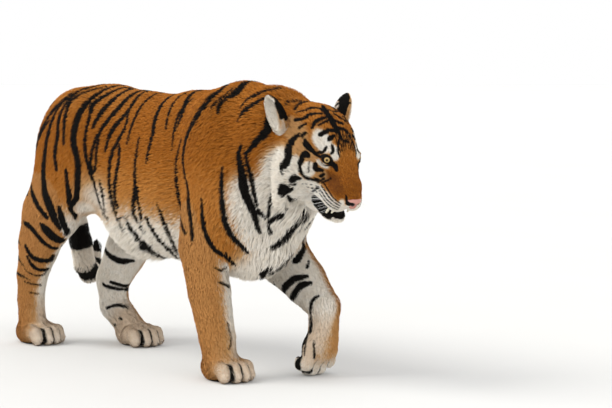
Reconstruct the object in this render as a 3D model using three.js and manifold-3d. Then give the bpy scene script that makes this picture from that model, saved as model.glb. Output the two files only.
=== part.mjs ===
// A life-size Siberian tiger, a grown male in winter coat, walking with its head lowered.
// It stands on its right forefoot and both hind feet, and the tips of its lifted left forefoot
// just touch the ground. The surface is that of the coat, out to the tips of the hair.
//
// Millimetres. +X is the way the tiger walks, +Y its left side, +Z up. The origin is on the
// ground under the middle of the animal.
//
// Every part of the body is a field of smoothly blended muscle shapes, negative inside. A mesh
// of rings is cast onto that field from a line that runs through the part, and neighbouring
// parts are then cut away from each other, with a thin gap where they meet.
import * as THREE from 'three';
import { mergeVertices } from 'three/addons/utils/BufferGeometryUtils.js';
import Module from 'manifold-3d';

// Driving dimensions.
const BACK_Z = 1010; // the top of the withers and of the rump
const BELLY_Z = 352; // the lowest hair of the belly
const HIP_X = -430; // the hip joints
const SHOULDER_X = 400; // the shoulder blades
const HALF_WIDTH = 192; // of the rib cage
const GAP = 0.3; // between neighbouring parts
const EYE_R = 19.5;
const NOSE_TIP = [958, -8, 636];
const HEAD_PITCH = 40; // degrees that the muzzle points below the horizon
const HEAD_YAW = -5; // degrees that the head turns to the left
const PAW_LENGTH = 190;
const PAW_WIDTH = 150;

const COAT = {
  orange: new THREE.Color(0.72, 0.36, 0.12),
  cream: new THREE.Color(0.86, 0.82, 0.74),
  black: new THREE.Color(0.03, 0.027, 0.025),
  amber: new THREE.Color(0.66, 0.5, 0.2),
};

const wasm = await Module();
wasm.setup();

// ---------------------------------------------------------------- fields

const vec = (x, y, z) => new THREE.Vector3(x, y, z);
const rad = THREE.MathUtils.degToRad;

function smoothMin(a, b, reach) {
  const overlap = Math.max(reach - Math.abs(a - b), 0) / reach;
  return Math.min(a, b) - (overlap * overlap * reach) / 4;
}

// The smooth union of several fields.
const blend = (reach, ...fields) => (p) =>
  fields.reduce((d, field) => smoothMin(d, field(p), reach), 1e6);

// An egg of three half-sizes, its nose pitched down and turned to the left, in degrees.
function egg([x, y, z], [a, b, c], pitch = 0, yaw = 0) {
  const centre = vec(x, y, z);
  const turned = new THREE.Quaternion()
    .setFromEuler(new THREE.Euler(0, rad(pitch), rad(yaw), 'ZYX'))
    .invert();
  const q = vec(0, 0, 0);
  return (p) => {
    q.subVectors(p, centre).applyQuaternion(turned);
    const near = Math.hypot(q.x / a, q.y / b, q.z / c);
    const slope = Math.hypot(q.x / (a * a), q.y / (b * b), q.z / (c * c));
    return slope < 1e-9 ? -Math.min(a, b, c) : (near * (near - 1)) / slope;
  };
}

// A chain of tapering lengths. Each joint is [x, y, z, depth, width]: its half-size seen from the
// side, and its half-size seen from the front.
function limb(joints) {
  const bones = joints.slice(1).map((end, i) => {
    const from = vec(...joints[i]);
    const along = vec(...end).sub(from);
    return { from, along, length2: along.lengthSq(), a: joints[i], b: end };
  });
  const q = vec(0, 0, 0);
  return (p) => {
    let best = 1e6;
    for (const { from, along, length2, a, b } of bones) {
      q.subVectors(p, from);
      const t = THREE.MathUtils.clamp(q.dot(along) / length2, 0, 1);
      q.addScaledVector(along, -t);
      const depth = a[3] + (b[3] - a[3]) * t;
      const width = a[4] + (b[4] - a[4]) * t;
      q.y *= depth / width;
      const d = (q.length() - depth) * Math.min(1, width / depth);
      best = smoothMin(best, d, 20);
    }
    return best;
  };
}

// The same field carried to another place by a matrix.
function placed(field, matrix) {
  const back = matrix.clone().invert();
  const q = vec(0, 0, 0);
  return (p) => field(q.copy(p).applyMatrix4(back));
}

const mirrored = (make) => [make(1), make(-1)];

// ---------------------------------------------------------------- meshes

// How far along a ray from inside a field its surface is.
function reachOf(field, from, direction, step = 6) {
  const p = vec(0, 0, 0);
  const at = (r) => field(p.copy(from).addScaledVector(direction, r));
  let outer = step;
  while (at(outer) < 0) outer += step;
  let inner = outer - step;
  for (let i = 0; i < 18; i++) {
    const middle = (inner + outer) / 2;
    if (at(middle) < 0) inner = middle;
    else outer = middle;
  }
  return outer;
}

// A closed mesh cast onto a field from a line through it: rings of points square to the line, and
// one point where each end of the line leaves the surface.
function cast(field, line, rings, sides, grow = 0) {
  const grown = (p) => field(p) - grow;
  const path = line.map((p) => vec(...p));
  const ends = [path[0].clone(), path[path.length - 1].clone()];
  const outward = [path[0].clone().sub(path[1]), ends[1].clone().sub(path[path.length - 2])];
  outward.forEach((way, i) => {
    way.normalize();
    ends[i].addScaledVector(way, reachOf(grown, ends[i], way));
  });
  const curve = new THREE.CatmullRomCurve3([ends[0], ...path, ends[1]], false, 'centripetal');
  const points = [ends[0]];
  for (let i = 1; i <= rings; i++) {
    const even = i / (rings + 1);
    const rounded = (1 - Math.cos(Math.PI * even)) / 2;
    const u = 0.6 * even + 0.4 * rounded;
    const centre = curve.getPointAt(u);
    const along = curve.getTangentAt(u);
    const side = vec(0, 1, 0).addScaledVector(along, -along.y).normalize();
    const up = vec(0, 0, 0).crossVectors(along, side);
    for (let j = 0; j < sides; j++) {
      const angle = (2 * Math.PI * j) / sides;
      const ray = side.clone().multiplyScalar(Math.cos(angle));
      ray.addScaledVector(up, Math.sin(angle));
      points.push(centre.clone().addScaledVector(ray, reachOf(grown, centre, ray)));
    }
  }
  points.push(ends[1]);
  const index = [];
  const at = (ring, j) => 1 + ring * sides + (j % sides);
  for (let j = 0; j < sides; j++) index.push(0, at(0, j + 1), at(0, j));
  for (let ring = 0; ring < rings - 1; ring++)
    for (let j = 0; j < sides; j++) {
      const [a, b, c, d] = [at(ring, j), at(ring, j + 1), at(ring + 1, j + 1), at(ring + 1, j)];
      index.push(a, b, c, a, c, d);
    }
  const last = points.length - 1;
  for (let j = 0; j < sides; j++) index.push(last, at(rings - 1, j), at(rings - 1, j + 1));
  return new THREE.BufferGeometry().setFromPoints(points).setIndex(index);
}

function solidOf(geometry) {
  const bare = new THREE.BufferGeometry().setAttribute('position', geometry.getAttribute('position'));
  if (geometry.index) bare.setIndex(geometry.index);
  const merged = mergeVertices(bare, 1e-3);
  return new wasm.Manifold(
    new wasm.Mesh({
      numProp: 3,
      vertProperties: new Float32Array(merged.getAttribute('position').array),
      triVerts: new Uint32Array(merged.index.array),
    }),
  );
}

function geometryOf(solid) {
  const mesh = solid.getMesh();
  const count = mesh.vertProperties.length / mesh.numProp;
  const positions = new Float32Array(count * 3);
  for (let i = 0; i < count; i++)
    positions.set(mesh.vertProperties.subarray(i * mesh.numProp, i * mesh.numProp + 3), i * 3);
  return new THREE.BufferGeometry()
    .setAttribute('position', new THREE.BufferAttribute(positions, 3))
    .setIndex(new THREE.BufferAttribute(new Uint32Array(mesh.triVerts), 1));
}

// ---------------------------------------------------------------- the body's fields

const shoulderMuscles = (side) =>
  blend(
    60,
    egg([SHOULDER_X - 25, side * 112, 740], [125, 82, 235], -14),
    limb([
      [SHOULDER_X + (side > 0 ? 92 : 48), side * 132, 620, 105, 72],
      [side > 0 ? 385 : 345, side * 140, 480, 100, 68],
    ]),
  );

const haunchMuscles = (side) =>
  blend(
    70,
    egg([HIP_X - (side > 0 ? 20 : 75), side * 92, 745], [200, 92, 232], 18),
    limb([
      [HIP_X - (side > 0 ? 0 : 60), side * 112, 700, 165, 76],
      [side > 0 ? -400 : -545, side * 132, 545, 132, 70],
    ]),
  );

const trunkField = blend(
  90,
  egg([140, 0, 675], [330, HALF_WIDTH, 315]), // the rib cage
  egg([-150, 0, (BACK_Z + BELLY_Z) / 2 - 14], [290, HALF_WIDTH - 22, 312]), // the loin and the belly
  egg([HIP_X + 40, 0, BACK_Z - 234], [270, 150, 222], 4), // the rump
  egg([SHOULDER_X - 10, 0, 790], [230, 132, 238]), // the withers
  egg([SHOULDER_X + 36, 0, 585], [192, 158, 235]), // the breast
  egg([SHOULDER_X - 20, 0, 455], [150, 112, 105]), // the brisket's hair
  ...mirrored(shoulderMuscles),
  ...mirrored(haunchMuscles),
);

const neckField = blend(
  80,
  limb([
    [440, 0, 782, 240, 165],
    [545, 0, 822, 200, 150],
    [640, -4, 830, 158, 112],
  ]),
  limb([
    [520, 4, 600, 130, 112],
    [632, 6, 640, 116, 86],
  ]), // the throat's hair
);

const tailJoints = [
  [-560, 0, 850, 62, 58],
  [-660, 0, 850, 56, 54],
  [-735, 15, 780, 52, 52],
  [-775, 55, 650, 49, 49],
  [-778, 95, 500, 47, 47],
  [-770, 122, 370, 46, 46],
  [-775, 145, 278, 45, 45],
  [-800, 185, 238, 43, 43],
  [-832, 228, 268, 36, 36],
  [-842, 250, 330, 24, 24],
  [-842, 255, 362, 10, 10],
];
const tailField = limb(tailJoints);

// The four legs, from inside the trunk down to the ankle.
const LEGS = {
  front_right: [
    [345, -150, 560, 105, 70],
    [345, -165, 450, 98, 72],
    [386, -168, 300, 80, 72],
    [418, -160, 145, 66, 64],
    [430, -157, 72, 60, 60],
  ],
  front_left: [
    [300, 130, 490, 105, 70],
    [416, 140, 408, 116, 76],
    [528, 148, 322, 88, 70],
    [632, 143, 245, 62, 56],
    [632, 142, 190, 56, 54],
  ],
  hind_right: [
    [-535, -130, 620, 155, 76],
    [-612, -148, 490, 136, 72],
    [-664, -150, 385, 106, 64],
    [-716, -146, 262, 76, 52],
    [-732, -142, 165, 64, 48],
    [-725, -140, 60, 58, 54],
  ],
  hind_left: [
    [-400, 118, 600, 140, 70],
    [-402, 140, 470, 130, 74],
    [-490, 134, 350, 100, 66],
    [-562, 124, 235, 80, 56],
    [-548, 120, 140, 68, 52],
    [-450, 118, 70, 56, 54],
  ],
};

// A paw in its own frame: +X to the toe tips, +Z the back of the foot, the sole at z = 0, and the
// origin under the ankle.
const TOES = [-1.5, -0.5, 0.5, 1.5];
const toeReach = (k) => PAW_LENGTH * (0.74 - 0.055 * k * k);
const toeField = (k) =>
  limb([
    [PAW_LENGTH * 0.22, k * PAW_WIDTH * 0.19, 48, 30, 26],
    [toeReach(k) - 34, k * PAW_WIDTH * 0.235, 44, 27, 23],
    [toeReach(k) - 18, k * PAW_WIDTH * 0.24, 24, 24, 21],
  ]);
const pawField = blend(
  26,
  egg([8, 0, 38], [PAW_LENGTH * 0.42, PAW_WIDTH * 0.42, 54]),
  egg([PAW_LENGTH * 0.2, 0, 36], [PAW_LENGTH * 0.26, PAW_WIDTH * 0.46, 42]),
);

// Where each paw is: the point under its ankle, how far its toes point down, and its heading.
const PAWS = {
  front_right: { at: [425, -157, 0], pitch: 0, yaw: -3 },
  front_left: { at: [588, 142, 143], pitch: 112, yaw: 2 },
  hind_right: { at: [-725, -140, 0], pitch: 0, yaw: 2 },
  hind_left: { at: [-430, 118, 0], pitch: 0, yaw: -4 },
};

function pawMatrix({ at, pitch, yaw }) {
  const turn = new THREE.Euler(0, rad(pitch), rad(yaw), 'ZYX');
  return new THREE.Matrix4().compose(
    vec(...at),
    new THREE.Quaternion().setFromEuler(turn),
    vec(1, 1, 1),
  );
}

// ---------------------------------------------------------------- the head's fields

// The head's own frame: +X along the muzzle, +Z the top of the head, the origin at the nose tip.
const headMatrix = new THREE.Matrix4().compose(
  vec(...NOSE_TIP),
  new THREE.Quaternion().setFromEuler(new THREE.Euler(0, rad(HEAD_PITCH), rad(HEAD_YAW), 'ZYX')),
  vec(1, 1, 1),
);
const EYE_AT = [-156, 58, 53];

const skullField = blend(
  30,
  egg([-262, 0, 20], [142, 102, 124]), // the brain case and its hair
  egg([-312, 0, 2], [104, 122, 112]), // the temples and the nape's hair
  egg([-200, 0, 34], [80, 60, 66], 16), // the forehead
  limb([
    [-200, 0, 30, 60, 56],
    [-120, 0, 18, 54, 53],
    [-66, 0, 2, 46, 46],
    [-28, 0, -12, 29, 31],
  ]), // the bridge of the nose
  ...mirrored((s) => egg([-62, s * 33, -43], [47, 34, 38], 6, s * -6)), // the whisker pads
  ...mirrored((s) => egg([-135, s * 42, -44], [70, 36, 46], 4, s * -10)), // the upper lips
  ...mirrored((s) => egg([-164, s * 38, 68], [38, 21, 17], 22, s * 10)), // the brows
  ...mirrored((s) => egg([-205, s * 72, -22], [88, 52, 66], 10, s * -12)), // the cheekbones
);
const ruffField = (s) =>
  blend(
    40,
    egg([-262, s * 92, -70], [84, 50, 96], -34, s * 12),
    egg([-236, s * 88, -150], [58, 40, 86], -34, s * 16),
  );

const jawField = blend(
  26,
  egg([-64, 0, -114], [42, 34, 23], -8), // the chin
  limb([
    [-84, 0, -118, 30, 38],
    [-150, 0, -126, 46, 54],
    [-240, 0, -112, 62, 72],
  ]),
);

const EAR_ROOT = [-350, 122, 20];
const EAR_TIP = [-452, 190, 116];
const EAR_FACES = [-0.1, 0.98, 0.12]; // the way the cup opens: out to the side and a little back
function earMatrix(side) {
  const sided = ([x, y, z]) => vec(x, side * y, z);
  const up = sided(EAR_TIP).sub(sided(EAR_ROOT)).normalize();
  const open = sided(EAR_FACES);
  open.addScaledVector(up, -open.dot(up)).normalize();
  const across = vec(0, 0, 0).crossVectors(up, open);
  return new THREE.Matrix4().makeBasis(open, across, up).setPosition(sided(EAR_ROOT));
}
// An ear in its own frame: +Z to its tip, the cup opening towards +X.
const earShell = egg([0, 0, 46], [32, 42, 74]);
const earHollow = egg([22, 0, 60], [30, 30, 60]);

// ---------------------------------------------------------------- the solids

// A part's solid, and the room to be left clear for it in its neighbours.
const grown = (make, finish = solidOf) => ({ solid: finish(make(0)), clear: finish(make(GAP)) });

const trunkLine = [[-560, 0, 800], [-300, 0, 720], [0, 0, 680], [300, 0, 690], [480, 0, 690]];
const trunk = grown((g) => cast(trunkField, trunkLine, 25, 24, g));
// Of the head, in its own frame until it is placed.
const inHead = (geometry) => solidOf(geometry.applyMatrix4(headMatrix));
const skullLine = [[-330, 0, 0], [-200, 0, 0], [-120, 0, -5], [-48, 0, -24]];
const ruffLine = (s) => [[-285, s * 88, -30], [-262, s * 90, -80], [-232, s * 86, -160]];
const skull = grown((g) => cast(skullField, skullLine, 22, 22, g), inHead);
const ruffs = mirrored((s) => grown((g) => cast(ruffField(s), ruffLine(s), 7, 10, g), inHead));
for (const ruff of ruffs) {
  skull.solid = skull.solid.add(ruff.solid);
  skull.clear = skull.clear.add(ruff.clear);
}
const jawLine = [[-200, 0, -104], [-120, 0, -112], [-62, 0, -110]];
const jaw = grown((g) => cast(jawField, jawLine, 8, 14, g), inHead);
const neck = grown((g) => cast(neckField, [[470, 0, 740], [600, 0, 780], [680, -6, 815]], 8, 20, g));
const tail = grown((g) => cast(tailField, tailJoints.slice(1, -1).map((j) => j.slice(0, 3)), 24, 8, g));
const legs = Object.fromEntries(
  Object.entries(LEGS).map(([name, joints]) => [
    name,
    grown((g) => cast(limb(joints), joints.map((j) => j.slice(0, 3)), 12, 12, g)),
  ]),
);

const ground = solidOf(new THREE.BoxGeometry(4000, 2000, 400).translate(0, 0, -200));
function pawSolid(name, grow) {
  const matrix = pawMatrix(PAWS[name]);
  const palmLine = [[-50, 0, 38], [0, 0, 38], [60, 0, 38]];
  const palm = solidOf(cast(pawField, palmLine, 5, 12, grow).applyMatrix4(matrix));
  return TOES.reduce((paw, k) => {
    const line = [
      [PAW_LENGTH * 0.24, k * PAW_WIDTH * 0.19, 48],
      [toeReach(k) - 30, k * PAW_WIDTH * 0.235, 38],
    ];
    return paw.add(solidOf(cast(toeField(k), line, 5, 7, grow).applyMatrix4(matrix)));
  }, palm).subtract(ground);
}
const paws = Object.fromEntries(
  Object.keys(PAWS).map((name) => [name, { solid: pawSolid(name, 0), clear: pawSolid(name, GAP) }]),
);

const eyeBall = (side, radius) =>
  solidOf(
    new THREE.SphereGeometry(radius, 12, 7)
      .translate(EYE_AT[0], side * EYE_AT[1], EYE_AT[2])
      .applyMatrix4(headMatrix),
  );
function ear(side) {
  const shell = cast(earShell, [[0, 0, 10], [0, 0, 80]], 7, 11);
  const hollow = cast(earHollow, [[22, 0, 30], [22, 0, 90]], 5, 8);
  const [cup, inside] = [shell, hollow].map((g) => inHead(g.applyMatrix4(earMatrix(side))));
  return cup.subtract(inside);
}

// ---------------------------------------------------------------- the parts

const tiger = new THREE.Group();

// What is left of a part once its neighbours are cut away, without the crumbs.
const withoutCrumbs = (solid) =>
  solid.decompose().reduce((most, piece) => (piece.volume() > most.volume() ? piece : most));

function part(name, solid, color, roughness = 0.9) {
  const material = new THREE.MeshStandardMaterial({ color, roughness, metalness: 0 });
  const mesh = new THREE.Mesh(geometryOf(withoutCrumbs(solid)), material);
  mesh.name = name;
  tiger.add(mesh);
}

const eyes = { left: 1, right: -1 };
let head = skull.solid.subtract(jaw.clear);
for (const side of Object.values(eyes)) head = head.subtract(eyeBall(side, EYE_R + GAP));
part('trunk', trunk.solid, COAT.orange);
part('head', head, COAT.orange);
part('jaw', jaw.solid.subtract(trunk.clear), COAT.cream);
part('neck', neck.solid.subtract(trunk.clear).subtract(skull.clear).subtract(jaw.clear), COAT.orange);
for (const [name, side] of Object.entries(eyes)) {
  part(`eye_${name}`, eyeBall(side, EYE_R), COAT.amber, 0.1);
  part(`ear_${name}`, ear(side).subtract(skull.clear).subtract(neck.clear), COAT.black);
}
for (const name of Object.keys(LEGS)) {
  part(`leg_${name}`, legs[name].solid.subtract(trunk.clear).subtract(paws[name].clear), COAT.orange);
  part(`paw_${name}`, paws[name].solid, COAT.cream);
}
part('tail', tail.solid.subtract(trunk.clear), COAT.orange);

// The middle of the animal goes over the origin.
const box = new THREE.Box3().setFromObject(tiger);
const middle = box.getCenter(vec(0, 0, 0));
for (const mesh of tiger.children) mesh.geometry.translate(-middle.x, -middle.y, -box.min.z);

export default tiger;
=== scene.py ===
"""A life-size Siberian tiger in its winter coat, walking with its head lowered: its looks.

The skin is grown from the same muscle shapes as the solids, drawn in by the coat's depth, and the coat is
laid over it in tufts. Markings are strokes and patches painted on the skin, read by skin and coat alike.
Some of that paint is painted light and shade: shade at the tufts' roots, in the toes' creases, the
nostrils, beside the nostril wings, in the ears' cups, at the rear of the haunches and on the muzzle, and
light on the back.

Millimetres until a mesh is made, in the frame the tiger is drawn in: +X the way it walks, +Y its left,
+Z up. The head and each paw have a frame of their own.
"""
import math

import bpy
import numpy as np
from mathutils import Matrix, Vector
from mathutils.bvhtree import BVHTree
from mathutils.kdtree import KDTree


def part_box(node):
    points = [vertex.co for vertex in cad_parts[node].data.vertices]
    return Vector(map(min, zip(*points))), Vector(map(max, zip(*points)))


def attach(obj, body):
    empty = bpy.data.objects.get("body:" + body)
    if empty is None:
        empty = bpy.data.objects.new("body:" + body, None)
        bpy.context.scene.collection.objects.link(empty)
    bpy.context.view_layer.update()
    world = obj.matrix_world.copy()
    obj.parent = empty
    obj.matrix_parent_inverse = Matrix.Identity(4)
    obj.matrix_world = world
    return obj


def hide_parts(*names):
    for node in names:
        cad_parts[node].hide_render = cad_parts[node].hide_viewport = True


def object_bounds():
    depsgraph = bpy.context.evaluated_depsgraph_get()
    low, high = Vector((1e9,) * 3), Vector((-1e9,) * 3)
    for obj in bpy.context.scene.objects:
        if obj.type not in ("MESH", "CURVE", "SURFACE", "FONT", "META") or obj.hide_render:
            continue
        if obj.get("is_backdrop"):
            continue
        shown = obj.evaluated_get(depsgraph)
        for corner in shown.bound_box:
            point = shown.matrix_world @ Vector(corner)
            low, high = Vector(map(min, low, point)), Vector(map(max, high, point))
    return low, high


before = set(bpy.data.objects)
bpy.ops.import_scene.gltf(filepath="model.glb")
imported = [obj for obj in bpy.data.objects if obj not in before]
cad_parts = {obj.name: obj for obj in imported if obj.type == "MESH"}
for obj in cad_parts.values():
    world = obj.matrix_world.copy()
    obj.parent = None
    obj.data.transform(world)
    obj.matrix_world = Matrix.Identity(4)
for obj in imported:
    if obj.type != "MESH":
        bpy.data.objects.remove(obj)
CAD_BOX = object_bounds()

# ---------------------------------------------------------------- driving sizes

NOSE_TIP = np.array([958.0, -8.0, 636.0])
HEAD_PITCH, HEAD_YAW = 40, -5  # degrees that the head is bent down, and turned to its left
EYE_AT = np.array([-156.0, 58.0, 53.0])  # in the head's frame, the left one
EYE_R = 19.5
PAW_LENGTH, PAW_WIDTH = 190, 150
TUFTS = 480_000
FAR = 1000.0  # a field's value away from its shape
MM = 0.001  # in metres
CM = 10  # in millimetres

rng = np.random.default_rng(20)

# ---------------------------------------------------------------- fields


def turned(pitch=0, yaw=0):
    """The axes of a frame whose +X is pitched down and then turned to the left, in degrees."""
    p, y = math.radians(pitch), math.radians(yaw)
    about_y = np.array([[math.cos(p), 0, math.sin(p)], [0, 1, 0], [-math.sin(p), 0, math.cos(p)]])
    about_z = np.array([[math.cos(y), -math.sin(y), 0], [math.sin(y), math.cos(y), 0], [0, 0, 1]])
    return about_z @ about_y


def unit(v):
    return v / np.maximum(np.linalg.norm(v, axis=-1, keepdims=True), 1e-9)


def smoothstep(low, high, x):
    t = np.clip((x - low) / (high - low), 0, 1)
    return t * t * (3 - 2 * t)


def smooth_min(a, b, reach):
    overlap = np.maximum(reach - np.abs(a - b), 0) / reach
    return np.minimum(a, b) - overlap * overlap * reach / 4


class Form:
    """One shape: its field, the box it is asked in, its coat's depth and the way its hair lies."""

    def __init__(self, field, low, high, depth, lie):
        self.field, self.depth, self.lie = field, depth, lie
        self.low, self.high = low, high
        self.margin = 60

    def survey(self, p, notes=None):
        """The fields of the coat's surface and of the skin at points p."""
        outer, skin = np.full(len(p), FAR), np.full(len(p), FAR)
        inside = (p > self.low - self.margin) & (p < self.high + self.margin)
        near = np.flatnonzero(inside.all(axis=1))
        if len(near):
            q = p[near]
            outer[near] = self.field(q)
            skin[near] = outer[near] + self.depth(q)
            if notes is not None:
                notes.append((near, outer[near], self.lie(q)))
        return outer, skin


class Blend:
    """The smooth union of forms and blends."""

    def __init__(self, reach, *parts):
        self.reach, self.parts = reach, parts
        for part in parts:
            if isinstance(part, Form):
                part.margin = max(part.margin, 2 * reach)

    def survey(self, p, notes=None):
        outer, skin = np.full(len(p), FAR), np.full(len(p), FAR)
        for part in self.parts:
            one, two = part.survey(p, notes)
            outer = smooth_min(outer, one, self.reach)
            skin = smooth_min(skin, two, self.reach)
        return outer, skin


class Carved:
    """A shape less its cutters."""

    def __init__(self, reach, body, *cutters):
        self.reach, self.body, self.cutters = reach, body, cutters

    def survey(self, p, notes=None):
        outer, skin = self.body.survey(p, notes)
        for cutter in self.cutters:
            one, two = cutter.survey(p)
            outer = -smooth_min(-outer, one, self.reach)
            skin = -smooth_min(-skin, two, self.reach)
        return outer, skin


class Placed:
    """A shape drawn in a frame of its own."""

    def __init__(self, origin, axes, body):
        self.origin, self.axes, self.body = np.array(origin, float), axes, body

    def survey(self, p, notes=None):
        own = None if notes is None else []
        found = self.body.survey((p - self.origin) @ self.axes, own)
        if notes is not None:
            notes.extend((rows, value, way @ self.axes.T) for rows, value, way in own)
        return found


class Modelled:
    """A shape with soft swellings and hollows: (centre, radii, height in mm)."""

    def __init__(self, body, bumps):
        self.body, self.bumps = body, bumps

    def survey(self, p, notes=None):
        outer, skin = self.body.survey(p, notes)
        for centre, radii, height in self.bumps:
            off = (p - np.array(centre, float)) / np.array(radii, float)
            rise = height * np.exp(-(off * off).sum(axis=1))
            outer = outer - rise
            skin = skin - rise
        return outer, skin


def lying(lie):
    """The way the hair lies, from one direction or from a function."""
    return lie if callable(lie) else lambda q: np.broadcast_to(unit(np.array(lie, float)), q.shape)


def egg(centre, radii, pitch=0, yaw=0, coat=8, lie=(-1, 0, 0)):
    """An egg of three half-sizes. The coat is one depth, or a depth on top and another below."""
    centre, radii, axes = np.array(centre, float), np.array(radii, float), turned(pitch, yaw)
    half = np.linalg.norm(axes * radii, axis=1)
    top, below = coat if isinstance(coat, tuple) else (coat, coat)

    def field(p):
        q = (p - centre) @ axes
        near = np.linalg.norm(q / radii, axis=1)
        slope = np.linalg.norm(q / radii**2, axis=1)
        return near * (near - 1) / np.maximum(slope, 1e-6)

    def depth(p):
        return top + (below - top) * smoothstep(0.9, -0.9, (p[:, 2] - centre[2]) / half[2])

    return Form(field, centre - half, centre + half, depth, lying(lie))


def limb(joints, coat=8, against=False, lie=None):
    """A chain of tapering lengths. Each joint is x, y, z, its depth from the side, its width.
    Its hair lies along it, or against its order."""
    joints = np.array(joints, float)

    def bones(p):
        for a, b in zip(joints, joints[1:]):
            along = b[:3] - a[:3]
            q = p - a[:3]
            t = np.clip(q @ along / (along @ along), 0, 1)
            q = q - t[:, None] * along
            depth = a[3] + (b[3] - a[3]) * t
            width = a[4] + (b[4] - a[4]) * t
            q[:, 1] *= depth / width
            yield (np.linalg.norm(q, axis=1) - depth) * np.minimum(1, width / depth), unit(along)

    def field(p):
        best = np.full(len(p), FAR)
        for value, _ in bones(p):
            best = smooth_min(best, value, 8)
        return best

    def along_it(p):
        way = sum(np.exp(-value / 25)[:, None] * along for value, along in bones(p))
        return unit(-way if against else way)

    reach = joints[:, 3:].max(axis=1, keepdims=True)
    low, high = (joints[:, :3] - reach).min(axis=0), (joints[:, :3] + reach).max(axis=0)
    return Form(field, low, high, lambda p: np.full(len(p), float(coat)), lie or along_it)


def mirrored(make):
    return [make(1), make(-1)]


# ---------------------------------------------------------------- the body

DOWN_BACK = (-0.75, 0, -0.65)


def shoulder(s):
    """The shoulder and the upper arm, further forward on the left."""
    top, low = (492, 385) if s > 0 else (448, 345)
    return Blend(
        60,
        egg([375, s * 112, 740], [125, 82, 235], -14, coat=13, lie=(-0.55, 0, -0.8)),
        limb([[top, s * 132, 620, 105, 72], [low, s * 140, 480, 100, 68]], coat=13),
    )


def haunch(s):
    """The haunch and the thigh, further forward on the left."""
    hip, top, low = (-450, -430, -400) if s > 0 else (-505, -490, -545)
    return Blend(
        70,
        egg([hip, s * 92, 745], [200, 92, 232], 18, coat=13, lie=DOWN_BACK),
        limb([[top, s * 112, 700, 165, 76], [low, s * 132, 545, 132, 70]], coat=13),
    )


TRUNK = Blend(
    90,
    egg([140, 0, 675], [330, 192, 315], coat=(13, 26), lie=(-1, 0, -0.25)),  # the rib cage
    egg([-150, 0, 667], [290, 170, 312], coat=(13, 32), lie=(-1, 0, -0.3)),  # the loin and the belly
    egg([-390, 0, 776], [270, 150, 222], 4, coat=14, lie=(-0.9, 0, -0.4)),  # the rump
    egg([390, 0, 790], [230, 132, 238], coat=15, lie=(-1, 0, -0.2)),  # the withers
    egg([436, 0, 585], [192, 158, 235], coat=22, lie=(-0.5, 0, -0.85)),  # the breast
    egg([380, 0, 455], [150, 112, 105], coat=32, lie=(-0.8, 0, -0.6)),  # the brisket's hair
    *mirrored(shoulder),
    *mirrored(haunch),
)

NECK = Blend(
    80,
    limb([[440, 0, 782, 240, 165], [545, 0, 822, 200, 150], [640, -4, 830, 158, 112]], 20, against=True),
    limb([[520, 4, 600, 130, 112], [632, 6, 640, 116, 86]], 28, against=True),  # the throat's hair
)

TAIL_JOINTS = [
    [-560, 0, 850, 62, 58], [-660, 0, 850, 56, 54], [-735, 15, 780, 52, 52], [-775, 55, 650, 49, 49],
    [-778, 95, 500, 47, 47], [-770, 122, 370, 46, 46], [-775, 145, 278, 45, 45], [-800, 185, 238, 43, 43],
    [-832, 228, 268, 36, 36], [-842, 250, 330, 24, 24], [-842, 255, 362, 10, 10],
]  # fmt: skip
TAIL = limb(TAIL_JOINTS, 12)

LEGS = {
    "front_right": [[345, -150, 560, 105, 70], [345, -165, 450, 98, 72], [386, -168, 300, 80, 72],
                    [418, -160, 145, 66, 64], [430, -157, 72, 60, 60]],
    "front_left": [[300, 130, 490, 105, 70], [416, 140, 408, 116, 76], [528, 148, 322, 88, 70],
                   [632, 143, 245, 62, 56], [632, 142, 190, 56, 54]],
    "hind_right": [[-535, -130, 620, 155, 76], [-612, -148, 490, 136, 72], [-664, -150, 385, 106, 64],
                   [-716, -146, 262, 76, 52], [-732, -142, 165, 64, 48], [-725, -140, 60, 58, 54]],
    "hind_left": [[-400, 118, 600, 140, 70], [-402, 140, 470, 130, 74], [-490, 134, 350, 100, 66],
                  [-562, 124, 235, 80, 56], [-548, 120, 140, 68, 52], [-450, 118, 70, 56, 54]],
}  # fmt: skip

# Each paw: the point under its ankle, how far its toes point down, and its heading.
PAWS = {
    "front_right": ([425, -157, 0], 0, -3),
    "front_left": ([588, 142, 143], 112, 2),
    "hind_right": ([-725, -140, 0], 0, 2),
    "hind_left": ([-430, 118, 0], 0, -4),
}
TOES = (-1.5, -0.5, 0.5, 1.5)
TOE_APART = PAW_WIDTH * 0.235


def in_paw(p, name):
    """Points in a paw's own frame: +X to the toe tips, the sole at z = 0, the origin under the ankle."""
    origin, pitch, yaw = PAWS[name]
    return (p - np.array(origin, float)) @ turned(pitch, yaw)


def toe_reach(k):
    return PAW_LENGTH * (0.74 - 0.055 * k * k)


def toe(k):
    joints = [
        [PAW_LENGTH * 0.22, k * PAW_WIDTH * 0.19, 48, 30, 26],
        [toe_reach(k) - 34, k * TOE_APART, 44, 27, 23],
        [toe_reach(k) - 18, k * PAW_WIDTH * 0.24, 24, 24, 21],
    ]
    return limb(joints, 3)


def paw(name):
    """A paw: the palm and four toes, and the pads where the sole is lifted."""
    origin, pitch, yaw = PAWS[name]
    forward = (1, 0, -0.5)
    palm = Blend(
        26,
        egg([8, 0, 38], [PAW_LENGTH * 0.42, PAW_WIDTH * 0.42, 54], coat=7, lie=forward),
        egg([PAW_LENGTH * 0.2, 0, 36], [PAW_LENGTH * 0.26, PAW_WIDTH * 0.46, 42], coat=6, lie=forward),
    )
    pads = [egg([38, 0, 1], [32, 30, 9], coat=0)]
    pads += [egg([toe_reach(k) - 22, k * TOE_APART, 3], [15, 12, 8], coat=0) for k in TOES]
    shape = Blend(8, palm, *[toe(k) for k in TOES])
    return Placed(origin, turned(pitch, yaw), Blend(3, shape, *pads) if pitch else shape)


# ---------------------------------------------------------------- the head

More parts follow.
